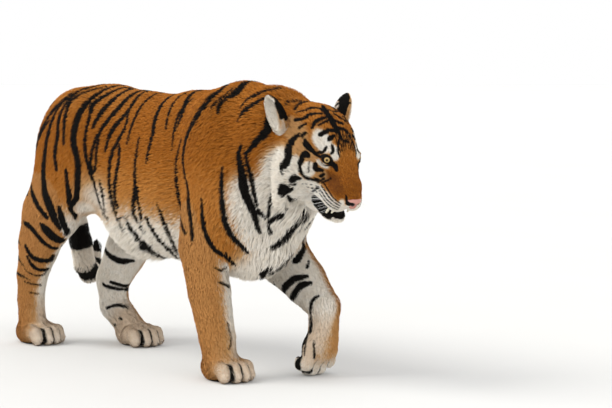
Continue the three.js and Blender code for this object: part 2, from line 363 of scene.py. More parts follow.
HEAD_AXES = turned(HEAD_PITCH, HEAD_YAW)
EAR_ROOT, EAR_TIP = np.array([-350.0, 122, 20]), np.array([-452.0, 190, 116])
EAR_FACES = np.array([-0.1, 0.98, 0.12])  # the way the cup opens
GAZE = np.array([0.7, 0.64, 0.3])
SLIT = np.array([0.66, -0.74, 0.04])  # from the outer corner of the eye to the inner one


def sided(v, s):
    return np.array([v[0], s * v[1], v[2]], float)


def from_nose(q):
    """On the head the hair lies away from the nose, and droops on the cheeks."""
    away = unit(q + np.array([10.0, 0, 0]))
    away[:, 2] -= 0.35 * smoothstep(-20, -120, q[:, 2])
    return away


def face(make, *sizes, **kw):
    return make(*sizes, lie=from_nose, **kw)


def ear_axes(s):
    up = unit(sided(EAR_TIP, s) - sided(EAR_ROOT, s))
    out = sided(EAR_FACES, s)
    out = unit(out - (out @ up) * up)
    return np.stack([out, np.cross(up, out), up], axis=1)


def ear(s):
    """An ear in its own frame: +Z to its tip, the cup opening towards +X."""
    shell = egg([0, 0, 46], [32, 42, 74], coat=5, lie=(0, 0, 1))
    hollow = egg([22, 0, 60], [30, 30, 60], coat=-5)
    return Placed(sided(EAR_ROOT, s), ear_axes(s), Carved(9, shell, hollow))


def eye_axes(s):
    """The axes of an eye: the gaze, the slit towards the nose, and square to both."""
    gaze = unit(sided(GAZE, s))
    slit = sided(SLIT, s)
    slit = unit(slit - (slit @ gaze) * gaze)
    return np.stack([gaze, slit, np.cross(gaze, slit)], axis=1)


def ball(centre, radius, coat=0):
    return egg(centre, [radius] * 3, coat=coat, lie=from_nose)


def lid_opening(s):
    opening = egg([EYE_R, 0, -1.0 * s], [17, 14.5, 9.2], coat=0)
    return Placed(sided(EYE_AT, s), eye_axes(s), opening)


BRIDGE_JOINTS = [
    [-200, 0, 30, 60, 56],
    [-120, 0, 18, 54, 53],
    [-66, 0, 2, 46, 46],
    [-28, 0, -12, 29, 31],
]

SKULL = Blend(
    30,
    face(egg, [-262, 0, 20], [142, 102, 124], coat=8),  # the brain case
    face(egg, [-312, 0, 2], [104, 122, 112], coat=12),  # the temples and the nape's hair
    face(egg, [-200, 0, 34], [80, 60, 66], 16, coat=5),  # the forehead
    face(limb, BRIDGE_JOINTS, 3),
    *mirrored(lambda s: face(egg, [-62, s * 33, -43], [47, 34, 38], 6, s * -6, coat=3)),  # whisker pads
    *mirrored(lambda s: face(egg, [-135, s * 42, -44], [70, 36, 46], 4, s * -10, coat=4)),  # upper lips
    *mirrored(lambda s: face(egg, [-164, s * 38, 68], [38, 21, 17], 22, s * 10, coat=4)),  # brows
    *mirrored(lambda s: face(egg, [-205, s * 72, -22], [88, 52, 66], 10, s * -12, coat=9)),  # cheekbones
    *mirrored(lambda s: face(egg, [-210, s * 62, -104], [70, 46, 60], coat=14)),  # the jaw's muscle
)
RUFFS = mirrored(
    lambda s: Blend(
        40,
        face(egg, [-262, s * 92, -70], [84, 50, 96], -34, s * 12, coat=17),
        face(egg, [-236, s * 88, -150], [58, 40, 86], -34, s * 16, coat=19),
    )
)
JAW = Blend(
    26,
    face(egg, [-64, 0, -114], [42, 34, 23], -8, coat=5),  # the chin
    face(limb, [[-84, 0, -118, 30, 38], [-150, 0, -126, 46, 54], [-240, 0, -112, 62, 72]], 7),
)
MOUTH = [
    Carved(6, egg([-70, 0, -91], [84, 64, 4.5], -2, coat=0), egg([-84, 0, -91], [70, 34, 30], coat=0)),
    *mirrored(lambda s: egg([-118, s * 58, -98], [34, 20, 8], -16, coat=0)),
]
PHILTRUM = egg([-8, 0, -52], [26, 2.2, 30], 20, coat=0)

HEAD_BUMPS = [
    ([-96, 0, 66], [40, 30, 20], -3),  # the dip below the brow
    *mirrored(lambda s: ([-150, s * 26, 90], [24, 12, 16], 2.5)),  # the brows' inner ends
    ([-232, 0, 146], [70, 9, 20], -4),  # the furrow of the forehead
    *mirrored(lambda s: ([-104, s * 54, 8], [26, 10, 10], -3.5)),  # between the eye and the whisker pad
    *mirrored(lambda s: ([-58, s * 66, -24], [30, 10, 4], -2)),  # folds of the whisker pad
    *mirrored(lambda s: ([-58, s * 68, -38], [30, 10, 4], -1.5)),
]

LID = 6  # the lids' thickness over the eye, with their short hair
FACE = Blend(
    9,
    Blend(14, Blend(34, SKULL, *RUFFS), JAW),
    *mirrored(lambda s: ball(sided(EYE_AT, s), EYE_R + LID, coat=2.5)),
)
HEAD = Placed(
    NOSE_TIP,
    HEAD_AXES,
    Blend(
        16,
        Carved(
            2.5,
            Modelled(FACE, HEAD_BUMPS),
            *MOUTH,
            PHILTRUM,
            *mirrored(lambda s: ball(sided(EYE_AT, s), EYE_R + 0.4)),
            *mirrored(lid_opening),
        ),
        *mirrored(ear),
    ),
)

BODY_BUMPS = [
    *mirrored(lambda s: ([330, s * 190, 800], [60, 40, 120], 7)),  # the shoulder blade's ridge
    *mirrored(lambda s: ([235, s * 200, 620], [30, 40, 120], -7)),  # behind the upper arm
    *mirrored(lambda s: ([455, s * 200, 660], [34, 50, 110], -5)),  # before the shoulder
    *mirrored(lambda s: ([-285, s * 180, 640], [40, 50, 110], -9)),  # the flank's fold
    *mirrored(lambda s: ([-60, s * 185, 560], [150, 50, 50], -3)),  # under the ribs
]

PARTS = {
    "trunk": Modelled(TRUNK, BODY_BUMPS),
    "neck": NECK,
    "head": HEAD,
    "tail": TAIL,
    **{f"leg_{name}": limb(joints, 9) for name, joints in LEGS.items()},
    **{f"paw_{name}": paw(name) for name in PAWS},
}
BODY = Blend(24, *PARTS.values())

# The row's frame is the drawn one moved over the middle of the animal, which an eye's place gives.
drawn_eye = (NOSE_TIP + HEAD_AXES @ sided(EYE_AT, 1)) * MM
packed_eye = sum(np.array(corner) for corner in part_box("eye_left")) / 2
SHIFT = packed_eye - drawn_eye

# ---------------------------------------------------------------- the skin's mesh

CELL_BODY, CELL_HEAD = 7.2, 3.0  # the grid's cell, which shrinks from the body to the head
HEAD_FROM, HEAD_TO = 480, 690  # where along X it shrinks
BLOCK = 4  # cells to a block: blocks far from the skin are skipped
LIE_FADES = 14  # mm out from a form in which its say in the hair's lie fades


def cell_at(x):
    return CELL_BODY + (CELL_HEAD - CELL_BODY) * smoothstep(HEAD_FROM, HEAD_TO, x)


def columns(low, high):
    """The X of each layer of a grid. Every grid's layers are one of the body's cells apart."""
    found = [low]
    while found[-1] < high:
        found.append(found[-1] + float(cell_at(found[-1])))
    found += [found[-1] + CELL_HEAD * (n + 1) for n in range(-len(found) % BLOCK)]
    return np.array(found)


class Grid:
    """Layers square to X; in each, points a cell apart that spread from the line Y = 0, Z = axis_z.
    The half width, and how far it goes below and above that line, are counts of cells. A cell of
    another size than the body's changes the points in each layer, not the way from layer to layer."""

    def __init__(self, low, high, half_width, below, above, axis_z, cell=cell_at):
        self.x = columns(low, high)
        self.cell = cell(self.x)
        self.axis_z = axis_z
        wide, self.below, tall = (
            BLOCK * math.ceil(n / BLOCK) for n in (half_width, below, below + above)
        )
        self.half = wide
        self.shape = (len(self.x), 2 * wide, tall)

    def place(self, ijk):
        """Points in space from grid places, which may be fractional."""
        i = np.arange(len(self.x))
        x, cell = np.interp(ijk[:, 0], i, self.x), np.interp(ijk[:, 0], i, self.cell)
        return np.stack(
            [x, cell * (ijk[:, 1] - self.half), self.axis_z + cell * (ijk[:, 2] - self.below)], axis=1
        )

    def sampled(self, body):
        """The skin's field at each grid point; only the blocks near the skin are asked in full."""
        blocks = np.array(self.shape) // BLOCK
        middles = np.indices(blocks).reshape(3, -1).T * BLOCK + (BLOCK - 1) / 2
        places = self.place(middles)
        coarse = body.survey(places)[1]
        cell = np.interp(middles[:, 0], np.arange(len(self.x)), self.cell)
        near = np.abs(coarse) < 1.35 * BLOCK * cell + 6
        values = coarse.astype(np.float32).reshape(blocks)
        for axis in range(3):
            values = values.repeat(BLOCK, axis)
        inner = np.indices((BLOCK,) * 3).reshape(3, -1).T
        corners = (middles[near] - (BLOCK - 1) / 2).astype(int)
        for some in np.array_split(corners, max(1, len(corners) // 4000)):
            ijk = (some[:, None] + inner[None]).reshape(-1, 3)
            values[tuple(ijk.T)] = body.survey(self.place(ijk))[1]
        return values

    def surface(self, values):
        """The zero surface as quads, one point to each cell that it crosses."""
        inside = values < 0
        rings, points = [], []
        for axis in range(3):
            here, there = [slice(None)] * 3, [slice(None)] * 3
            here[axis], there[axis] = slice(0, -1), slice(1, None)
            here, there = tuple(here), tuple(there)
            at = np.argwhere(inside[here] != inside[there])
            a, b = values[here][tuple(at.T)], values[there][tuple(at.T)]
            step = np.eye(3, dtype=int)
            cross = at + (a / (a - b))[:, None] * step[axis]
            u, v = step[(axis + 1) % 3], step[(axis + 2) % 3]
            ring = np.stack([at, at - u, at - u - v, at - v], axis=1)
            ring[b < a] = ring[b < a][:, ::-1]
            rings.append(ring)
            points.append(np.repeat(cross, 4, axis=0))
        rings = np.concatenate(rings)
        cells = np.ravel_multi_index(rings.reshape(-1, 3).T, values.shape)
        _, index = np.unique(cells, return_inverse=True)
        index = index.ravel()
        count = np.bincount(index)
        points = np.concatenate(points)
        middle = np.stack([np.bincount(index, points[:, n]) / count for n in range(3)], axis=1)
        return self.place(middle), index.reshape(-1, 4)


def laid_flat(way, normals):
    """Directions laid flat on the skin."""
    return unit(way - (way * normals).sum(axis=1, keepdims=True) * normals)


def sum_at(rows, values, count):
    """The sum of the values that fall to each row."""
    return np.stack([np.bincount(rows, column, count) for column in values.T], axis=1)


def triangles_of(quads):
    return np.concatenate([quads[:, [0, 1, 2]], quads[:, [0, 2, 3]]])


def refined(points, tris, wanted):
    """Splits every edge whose middle is wanted, and the triangles beside it."""
    edges = np.sort(tris[:, [0, 1, 1, 2, 2, 0]].reshape(-1, 2), axis=1)
    key, back = np.unique(edges[:, 0] * len(points) + edges[:, 1], return_inverse=True)
    ends = np.stack([key // len(points), key % len(points)], axis=1)
    middle = points[ends].mean(axis=1)
    split = wanted(middle)
    name = np.where(split, len(points) + np.cumsum(split) - 1, -1)
    mids = name[back.ravel()].reshape(-1, 3)
    count = (mids >= 0).sum(axis=1)
    made = [tris[count == 0]]
    for splits, lead in ((1, mids >= 0), (2, mids < 0), (3, mids >= 0)):
        rows = np.flatnonzero(count == splits)
        turn = lead[rows].argmax(axis=1) + (splits == 2)
        order = (turn[:, None] + np.arange(3)) % 3
        a, b, c = np.take_along_axis(tris[rows], order, 1).T
        p, q, r = np.take_along_axis(mids[rows], order, 1).T
        if splits == 1:
            made += [np.stack(t, 1) for t in ((a, p, c), (p, b, c))]
        elif splits == 2:
            made += [np.stack(t, 1) for t in ((p, b, q), (a, p, q), (a, q, c))]
        else:
            made += [np.stack(t, 1) for t in ((a, p, r), (p, b, q), (r, q, c), (p, q, r))]
    return np.concatenate([points, middle[split]]), np.concatenate(made)


def drawn_to(body, points, rows, steps=3):
    """Moves those points onto the skin's field."""
    for _ in range(steps):
        p = points[rows]
        value = body.survey(p)[1]
        slope = np.stack([body.survey(p + h)[1] - value for h in np.eye(3) * 0.5], axis=1) / 0.5
        push = value / np.maximum((slope * slope).sum(axis=1), 0.25)
        points[rows] = p - np.clip(push, -2, 2)[:, None] * slope


def normals_of(points, tris):
    a, b, c = (points[tris[:, n]] for n in range(3))
    face = np.cross(b - a, c - a)
    total = [
        sum(np.bincount(tris[:, n], face[:, axis], len(points)) for n in range(3)) for axis in range(3)
    ]
    return unit(np.stack(total, axis=1))


def eased(points, tris, rounds=2):
    """A light smoothing that keeps the volume."""
    ends = tris[:, [0, 1, 1, 2, 2, 0]].reshape(-1, 2)
    count = np.bincount(ends[:, 0], minlength=len(points))[:, None]
    for _ in range(rounds):
        for weight in (0.5, -0.52):
            around = sum_at(ends[:, 0], points[ends[:, 1]], len(points)) / count
            points = points + weight * (around - points)
    return points


def paw_zone(p):
    """Where the toes are, which need finer triangles."""
    found = np.zeros(len(p), bool)
    for name in PAWS:
        ahead, aside, up = in_paw(p, name).T
        found |= (ahead > 0) & (np.abs(aside) < 95) & (up > -20) & (up < 100)
    return found


def grown_skin():
    grid = Grid(-900, 985, 72, 256, 92, 750)
    points, quads = grid.surface(grid.sampled(BODY))
    tris = triangles_of(quads)
    points = eased(points, tris)
    points, tris = refined(points, tris, paw_zone)
    drawn_to(BODY, points, np.flatnonzero(paw_zone(points)))
    points[:, 2] = np.maximum(points[:, 2], 1.0)
    return points, tris


def mesh_object(name, points, faces, material):
    """A mesh in metres in the row's frame, from points in drawn millimetres."""
    mesh = bpy.data.meshes.new(name)
    mesh.vertices.add(len(points))
    mesh.vertices.foreach_set("co", (points * MM + SHIFT).astype(np.float32).ravel())
    sides = faces.shape[1]
    mesh.loops.add(faces.size)
    mesh.loops.foreach_set("vertex_index", faces.astype(np.int32).ravel())
    mesh.polygons.add(len(faces))
    mesh.polygons.foreach_set("loop_start", np.arange(0, faces.size, sides, dtype=np.int32))
    mesh.polygons.foreach_set("use_smooth", np.ones(len(faces), bool))
    mesh.update(calc_edges=True)
    mesh.validate()
    mesh.materials.append(material)
    made = bpy.data.objects.new(name, mesh)
    bpy.context.scene.collection.objects.link(made)
    return made


class Skin:
    """The skin's triangles, with what is asked of them: sides, nearest points, and each vertex's coat."""

    def __init__(self, points, tris):
        self.points, self.tris = points, tris
        self.normals = normals_of(points, tris)
        self.tree = BVHTree.FromPolygons(points.tolist(), tris.tolist())
        notes = []
        outer, _ = BODY.survey(points, notes)
        self.depth = np.clip(-outer, 0, 40)
        way = np.zeros_like(points)
        for rows, value, lie in notes:
            way[rows] += np.exp(-np.clip(value, -60, 200) / LIE_FADES)[:, None] * lie
        self.lie = self.flowing(way)
        fields = np.stack([part.survey(points)[0] for part in PARTS.values()])
        self.part = fields.argmin(axis=0)

    def flowing(self, way, rounds=6):
        """Directions laid on the skin and evened out with their neighbours'."""
        ends = self.tris[:, [0, 1, 1, 2, 2, 0]].reshape(-1, 2)
        for _ in range(rounds):
            way = laid_flat(way, self.normals)
            way = way + sum_at(ends[:, 0], way[ends[:, 1]], len(way))
        return laid_flat(way, self.normals)

    def nearest(self, p):
        return np.array(self.tree.find_nearest(Vector(p))[0])

    def beside(self, x, z, s):
        """The skin at a place on the side view, seen from the left (s = 1) or the right."""
        hit = self.tree.ray_cast(Vector((x, s * 420, z)), Vector((0, -s, 0)))[0]
        if hit and s * hit.y > 0:
            return np.array(hit)
        return self.nearest((x, s * 150 if z < 540 else 0, z))


# ---------------------------------------------------------------- markings, and painted light and shade

# Stripes on the side view of the body, as (along, up) in cm with the half width in mm.
RUMP_STRIPES = [
    [(-48, 94, 2), (-66, 78, 3), (-67, 71, 3)],
    [(-47, 96, 2), (-57, 87, 4), (-66, 74, 4), (-66, 67, 3)],
    [(-42, 98, 2), (-51, 90, 4), (-55, 73, 9), (-54, 61, 11), (-52, 56, 13), (-50, 51, 12), (-49, 46, 4)],
    [(-41, 99, 3), (-44, 97, 4), (-48, 89, 4), (-47, 80, 7), (-48, 74, 6), (-47, 68, 4)],
    [(-38, 98, 2), (-44, 94, 4), (-45, 90, 5), (-43, 78, 3)],
    [(-42, 68, 4), (-42, 59, 7), (-43, 56, 4)],
    [(-35, 99, 4), (-38, 88, 10), (-38, 79, 10), (-36, 73, 9), (-36, 68, 9), (-39, 59, 7), (-43, 54, 5),
     (-42, 49, 2)],
]  # fmt: skip
FLANK_STRIPES = [
    [(-31, 99, 4), (-31, 97, 6), (-34, 92, 7), (-33, 89, 4)],
    [(-31, 99, 4), (-26, 97, 6), (-28, 91, 8), (-30, 84, 3)],
    [(-33, 88, 3), (-32, 74, 4), (-29, 60, 3)],
    [(-15, 99, 4), (-19, 97, 6), (-21, 91, 8), (-27, 81, 4), (-30, 70, 4), (-28, 55, 4), (-24, 52, 3)],
    [(-26, 82, 2), (-27, 72, 4), (-29, 68, 2)],
    [(-26, 65, 3), (-25, 61, 5), (-25, 54, 3)],
    [(-16, 97, 3), (-15, 90, 6), (-20, 83, 7), (-22, 76, 3)],
    [(-9, 98, 3), (-9, 90, 4), (-9, 79, 2)],
    [(-14, 89, 2), (-13, 84, 4), (-18, 75, 6), (-19, 70, 6), (-19, 59, 6), (-16, 48, 3)],
    [(-14, 78, 4), (-13, 73, 6), (-16, 62, 6), (-16, 57, 6)],
    [(-2, 81, 2), (-2, 65, 6), (-6, 55, 6), (-5, 53, 4)],
    [(-1, 64, 4), (-1, 55, 5), (-2, 53, 2)],
    [(2, 98, 3), (3, 92, 6), (6, 82, 6), (5, 73, 2)],
    [(11, 97, 3), (10, 94, 4), (13, 85, 2)],
    [(19, 95, 2), (17, 91, 4), (19, 78, 1)],
    [(15, 100, 6), (15, 97, 6), (19, 90, 4), (19, 85, 2)],
    [(-12, 53, 4), (-10, 48, 8), (-8, 44, 11), (-6, 39, 11), (-10, 35, 6)],
    [(2, 54, 4), (4, 49, 8), (6, 45, 10), (8, 41, 9), (8, 37, 4)],
    [(11, 59, 3), (13, 52, 7), (13, 46, 7), (12, 42, 3)],
    [(-5, 53, 3), (-3, 48, 2)],
]
SHOULDER_STRIPES = [
    [(34, 102, 9), (31, 101, 10), (34, 98, 8), (35, 94, 8), (29, 81, 7), (28, 72, 5), (34, 58, 5),
     (37, 48, 3)],
    [(25, 82, 2), (22, 73, 3), (24, 58, 4), (33, 50, 3)],
    [(41, 101, 7), (42, 99, 11), (42, 97, 10), (40, 96, 4)],
    [(41, 98, 3), (40, 94, 4), (41, 91, 2)],
    [(39, 99, 2), (38, 93, 2)],
    [(58, 99, 5), (51, 96, 5), (49, 93, 2)],
    [(58, 96, 4), (52, 92, 6), (50, 89, 2)],
    [(63, 90, 10), (63, 86, 10), (57, 80, 4), (55, 77, 5), (57, 61, 3)],
    [(53, 81, 3), (52, 77, 6), (54, 68, 10), (56, 60, 7), (56, 52, 3)],
    [(57, 59, 4), (58, 57, 4)],
    [(47, 73, 2), (49, 62, 5), (49, 52, 6), (51, 45, 3)],
    [(61, 65, 2), (59, 57, 3)],
    [(58, 54, 3), (58, 52, 4)],
]  # fmt: skip
RIGHT_LEG_STRIPES = [
    [(-65, 61, 4), (-61, 57, 7), (-53, 50, 5)],
    [(-47, 54, 4), (-47, 50, 8), (-48, 43, 4)],
    [(-67, 47, 4), (-61, 45, 7), (-55, 38, 4)],
    [(-56, 47, 4), (-54, 45, 11), (-52, 42, 11), (-51, 40, 4)],
    [(-66, 38, 4), (-63, 34, 6), (-59, 33, 6), (-56, 34, 4)],
    [(-66, 34, 3), (-64, 30, 5), (-61, 29, 4)],
    [(-69, 29, 0), (-65, 27, 1), (-61, 28, 0)],
    [(-70, 24, 0), (-66, 23, 1), (-64, 22, 0)],
    [(-69, 20, 0), (-66, 19, 0)],
    [(40, 62, 2), (41, 52, 4), (45, 41, 4)],
]
# Stripes on the breast and inside the legs, as x, y, z in cm with the half width in mm.
BREAST_STRIPES = [
    [(68, -7, 60, 4), (64, -7, 57, 5), (60, -8, 55, 3)],
    [(72, -1, 57, 3), (67, 0, 54, 6), (63, 0, 51, 8), (60, -2, 48, 7), (58, -5, 46, 4)],
    [(54, 15, 48, 3), (54, 13, 44, 6), (55, 8, 41, 8), (53, 3, 39, 9), (51, 0, 36, 6)],
    [(54, -2, 38, 3), (52, -3, 37, 6), (46, 0, 33, 4)],
    [(57, 13, 40, 1), (58, 11, 38, 1)],
    [(59, 10, 35, 3), (55, 8, 34, 7), (52, 8, 32, 8), (49, 8, 30, 8), (46, 9, 27, 5)],
    [(61, 10, 33, 3), (58, 8, 32, 7), (54, 8, 28, 7), (50, 10, 25, 4)],
    [(65, 10, 29, 1), (63, 9, 27, 3), (62, 8, 24, 4), (62, 9, 22, 2)],
    [(62, 8, 21, 2), (62, 9, 18, 6), (62, 9, 16, 4)],
    [(60, 9, 15, 6), (59, 8, 12, 10), (58, 8, 9, 11), (58, 7, 6, 11), (58, 6, 3, 8)],
    [(61, 9, 15, 0), (61, 8, 11, 1), (61, 7, 8, 0)],
    [(64, 9, 13, 0), (64, 9, 7, 1)],
    [(46, -18, 34, 1), (46, -13, 32, 2)],
    [(44, -19, 39, 0), (46, -17, 38, 1), (45, -13, 39, 0)],
    [(48, -16, 20, 0), (49, -15, 14, 0), (49, -16, 11, 0)],
    [(-52, 7, 34, 5), (-45, 8, 32, 7), (-41, 9, 32, 4)],
    [(-57, 8, 36, 4), (-46, 7, 32, 7), (-40, 10, 32, 3)],
    [(-51, 7, 23, 3), (-49, 17, 23, 4)],
    [(-55, 7, 22, 3), (-49, 16, 20, 4)],
    [(-53, 6, 13, 2), (-48, 8, 15, 3), (-45, 11, 14, 2)],
    [(-55, 9, 8, 1), (-54, 9, 8, 1)],
    [(-48, 7, 7, 2), (-47, 7, 7, 1)],
    [(-45, 7, 10, 1), (-44, 7, 10, 1)],
]
# Stripes on the back of the haunch, drawn on the left and mirrored on the right.
REAR_STRIPES = [
    [(-58, 13, 93, 3), (-66, 10, 86, 6), (-70, 9, 77, 5), (-71, 9, 68, 3)],
    [(-55, 17, 86, 3), (-63, 16, 78, 6), (-69, 13, 68, 6), (-71, 9, 60, 3)],
    [(-66, 16, 64, 3), (-70, 12, 57, 5), (-71, 9, 52, 2)],
]
# Bars round a leg: how far down its joints, from which angle to which, and the half width in mm.
# 0 degrees is outward and 90 is forward.
LEG_BARS = {
    "hind_left": [(1.0, -90, 20, 8), (1.35, -100, 10, 7), (1.7, -80, 40, 7), (2.1, -90, 20, 5),
                  (2.6, -80, 10, 4), (0.5, -150, -60, 7), (3.3, -60, 20, 3)],
    "hind_right": [(0.9, 120, 220, 8), (1.5, 110, 230, 7), (2.0, 120, 200, 5), (2.6, 120, 220, 4),
                   (0.3, -150, -50, 7), (0.75, -150, -40, 8), (1.2, -150, -50, 7), (1.7, -140, -40, 6),
                   (2.2, -130, -20, 4), (2.7, -120, 10, 3), (3.1, -60, 40, 2)],
    "front_left": [(0.5, -150, -60, 5), (1.4, -140, -70, 4)],
    "front_right": [(0.6, 150, 240, 6), (1.1, 160, 230, 5), (1.6, 150, 210, 4)],
}  # fmt: skip

# Strokes on the right of the face, as x, y, z in the head's millimetres with the half width.
FACE_STROKES = [
    [(-376, -148, 102, 2), (-434, -78, 70, 3), (-426, -52, 84, 3), (-400, -8, 88, 1)],
    [(-376, -120, 98, 2), (-396, -62, 84, 5), (-398, -4, 88, 4)],
    [(-360, -78, 74, 2), (-346, -62, 98, 3), (-346, -50, 110, 4), (-324, -30, 126, 3), (-300, -28, 134, 3)],
    [(-344, -114, 82, 2), (-332, -96, 70, 4), (-314, -84, 92, 4), (-316, -66, 108, 4), (-292, -38, 130, 2)],
    [(-262, -82, 96, 3), (-274, -66, 112, 5), (-270, -34, 134, 3)],
    [(-256, -66, 112, 2), (-254, -36, 132, 3)],
    [(-224, -70, 100, 5), (-220, -50, 120, 5)],
    [(-192, -58, 102, 2), (-194, -50, 112, 6), (-196, -38, 118, 3)],
    [(-184, -82, 56, 3), (-174, -74, 70, 4), (-178, -68, 86, 2)],
    [(-172, -52, 98, 2), (-156, -52, 88, 3), (-150, -62, 78, 1)],
    [(-186, -22, 122, 2), (-150, -38, 94, 2), (-132, -34, 82, 1)],
    [(-172, -82, 48, 2), (-152, -70, 68, 3), (-112, -48, 52, 3)],
    [(-152, -74, 42, 2), (-140, -66, 40, 2), (-130, -58, 48, 2)],
    [(-168, -80, 48, 2), (-230, -102, 50, 7), (-248, -102, 56, 3)],
    [(-266, -104, 54, 3), (-264, -96, 70, 4)],
    [(-296, -102, 66, 3), (-292, -88, 88, 3)],
    [(-278, -106, 56, 2), (-280, -118, 26, 7), (-272, -122, 0, 10), (-250, -132, -16, 10),
     (-240, -140, -40, 10), (-248, -142, -66, 6), (-224, -142, -80, 2)],
    [(-196, -106, 32, 5), (-210, -110, 26, 7), (-190, -120, -14, 4), (-158, -110, -32, 3),
     (-124, -84, -14, 3)],
    [(-180, -104, 20, 1), (-158, -106, -8, 1)],
    [(-160, -92, 24, 5), (-150, -90, 14, 5), (-136, -74, 20, 3)],
    [(-126, -78, 2, 3), (-126, -70, 10, 3)],
    [(-112, -74, -16, 1), (-106, -54, 10, 2)],
    [(-122, -82, -25, 1), (-117, -68, 0, 2)],
    # the shadow of the nostril's wing, painted as a black stroke on the fur
    [(-13, -26, -16, 2), (-22, -28, -6, 2.4), (-33, -28, 3, 1)],
    [(-192, -124, -74, 6), (-188, -118, -58, 7), (-174, -110, -50, 3)],
    [(-206, -134, -148, 8), (-198, -132, -122, 12), (-182, -116, -112, 6)],
    [(-178, -110, -142, 4), (-180, -82, -160, 9), (-176, -66, -166, 5)],
    [(-190, -124, -92, 3), (-178, -112, -82, 3)],
    [(-132, -74, -76, 2), (-112, -78, -36, 2)],
    [(-134, -62, 56, 4), (-118, -52, 54, 6), (-106, -47, 47, 3)],
]  # fmt: skip
CHEEK_DOTS = [(-118, -86, -38), (-104, -82, -46), (-134, -94, -46), (-126, -92, -60), (-150, -100, -58),
              (-142, -98, -72), (-160, -104, -70), (-110, -84, -62)]  # fmt: skip
CROWN_STROKES = [  # the middle of the forehead, and the strokes that cross it
    [(-340, -6, 124, 2), (-294, -24, 136, 6), (-262, -26, 138, 7), (-228, -26, 134, 5),
     (-178, -14, 118, 3)],
    [(-338, 12, 124, 2), (-338, 42, 118, 2)],
    [(-300, -6, 136, 3), (-294, 20, 138, 3), (-348, 106, 78, 2)],
    [(-276, 0, 140, 3), (-254, 18, 140, 3), (-238, 36, 130, 2)],
    [(-246, -18, 140, 3), (-234, 6, 138, 4)],
    [(-218, -18, 136, 3), (-206, 10, 132, 4), (-186, 26, 118, 2)],
    [(-176, -12, 116, 4), (-168, 10, 114, 3)],
    [(-218, -44, 122, 4), (-210, -30, 128, 4)],
]  # fmt: skip
# Rings round the tail, as how far down it in mm with the half width.
TAIL_RINGS = [(150, 10), (235, 14), (325, 19), (415, 22), (500, 24), (612, 46), (760, 30), (850, 22),
              (960, 62)]  # fmt: skip
STROKE_STEP = 4  # between the points of a stroke


def whisker_line(k):
    """One of the dark lines on the whisker pad, the highest first."""
    back = (4 * k - 112, -70 - k, -12 - 14 * k, 2)
    return [back, (-62, -68, -20 - 12 * k, 2), (-16, -46, -24 - 9 * k, 1)]


def fleck(k, m):
    """A short dark streak between the brows: the k-th down the face, the m-th from its middle."""
    height = -2 * k - 5 * m
    start = (-204 + 12 * k, -6 - 9 * m + 3 * (k % 2), 122 + height, 1.5)
    return [start, (-188 + 12 * k, -7 - 8 * m, 118 + height, 0.5)]


FINE_STROKES = [whisker_line(k) for k in range(4)]
FINE_STROKES += [fleck(k, m) for k in range(5) for m in range(4)]


def curve(rows, steps=6):
    """A smooth curve through the rows."""
    rows = np.array(rows, float)
    ends = np.concatenate([2 * rows[:1] - rows[1:2], rows, 2 * rows[-1:] - rows[-2:-1]])
    t = np.arange(steps)[:, None] / steps
    spans = [
        0.5 * (2 * b + (c - a) * t + (2 * a - 5 * b + 4 * c - d) * t**2 + (3 * b - a - 3 * c + d) * t**3)
        for a, b, c, d in zip(ends, ends[1:], ends[2:], ends[3:])
    ]
    return np.concatenate([*spans, rows[-1:]])


def spaced(rows, step):
    """A curve's rows made again a step apart, as measured along its first three columns."""
    length = np.concatenate([[0], np.cumsum(np.linalg.norm(np.diff(rows[:, :3], axis=0), axis=1))])
    at = np.linspace(0, length[-1], max(2, math.ceil(length[-1] / step) + 1))
    return np.stack([np.interp(at, length, column) for column in rows.T], axis=1)


def laid(skin, rows):
    """A stroke whose points have been brought onto the skin."""
    rows = spaced(np.array(rows, float), STROKE_STEP)
    rows[:, :3] = [skin.nearest(p) for p in rows[:, :3]]
    return rows


def bold(wide):
    """A body stripe's half width where the hair from both sides closes over its edges."""
    return 1.35 * wide + 3.4


def side_stripe(skin, stripe, s):
    """A stripe of the side view. The left side's differ a little from the right side's."""
    if s > 0:
        shift, wider = rng.normal(0, 0.7, 2), rng.uniform(0.8, 1.2)
        stripe = [(x + shift[0], z + shift[1] * 0.5, wide * wider) for x, z, wide in stripe]
    return laid(skin, [(*skin.beside(CM * x, CM * z, s), bold(wide)) for x, z, wide in curve(stripe)])


def leg_bar(skin, name, along, start, end, wide):
    """A bar round a leg, thin at its ends."""
    joints = np.array(LEGS[name], float)
    k = min(int(along), len(joints) - 2)
    centre = joints[k] + (along - k) * (joints[k + 1] - joints[k])
    bone = unit(joints[k + 1, :3] - joints[k, :3])
    out = np.array([0, math.copysign(1, joints[0, 1]), 0])
    ahead = unit(np.cross(bone, [0, 1, 0]))
    ahead = ahead if ahead[0] > 0 else -ahead
    rows = []
    for part in np.linspace(0, 1, 12):
        turn = math.radians(start + (end - start) * part)
        place = centre[:3] + centre[3] * math.sin(turn) * ahead + centre[4] * math.cos(turn) * out
        sag = 10 * math.sin(3 * part + along)
        rows.append((*(place + sag * bone), bold(wide) * math.sin(math.pi * (0.1 + 0.8 * part))))
    return laid(skin, rows)


def face_stroke(skin, stroke, s, bolder=1.5):
    """A stroke of the face, or its mirror image on the left."""
    rows = curve([(x, -s * y, z, bolder * wide + 1.4) for x, y, z, wide in stroke], 4)
    rows[:, :3] = NOSE_TIP + rows[:, :3] @ HEAD_AXES.T
    return laid(skin, rows)


class Paint:
    """Strokes on the skin, asked how far a point is outside the nearest one."""

    def __init__(self, strokes):
        rows = np.concatenate(strokes)
        self.radii = rows[:, 3].tolist()
        self.tree = KDTree(len(rows))
        for n, p in enumerate(rows[:, :3]):
            self.tree.insert(p, n)
        self.tree.balance()

    def gap(self, points):
        find, radii = self.tree.find_n, self.radii
        return np.array([min(far - radii[n] for _, n, far in find(p, 3)) for p in points.tolist()])


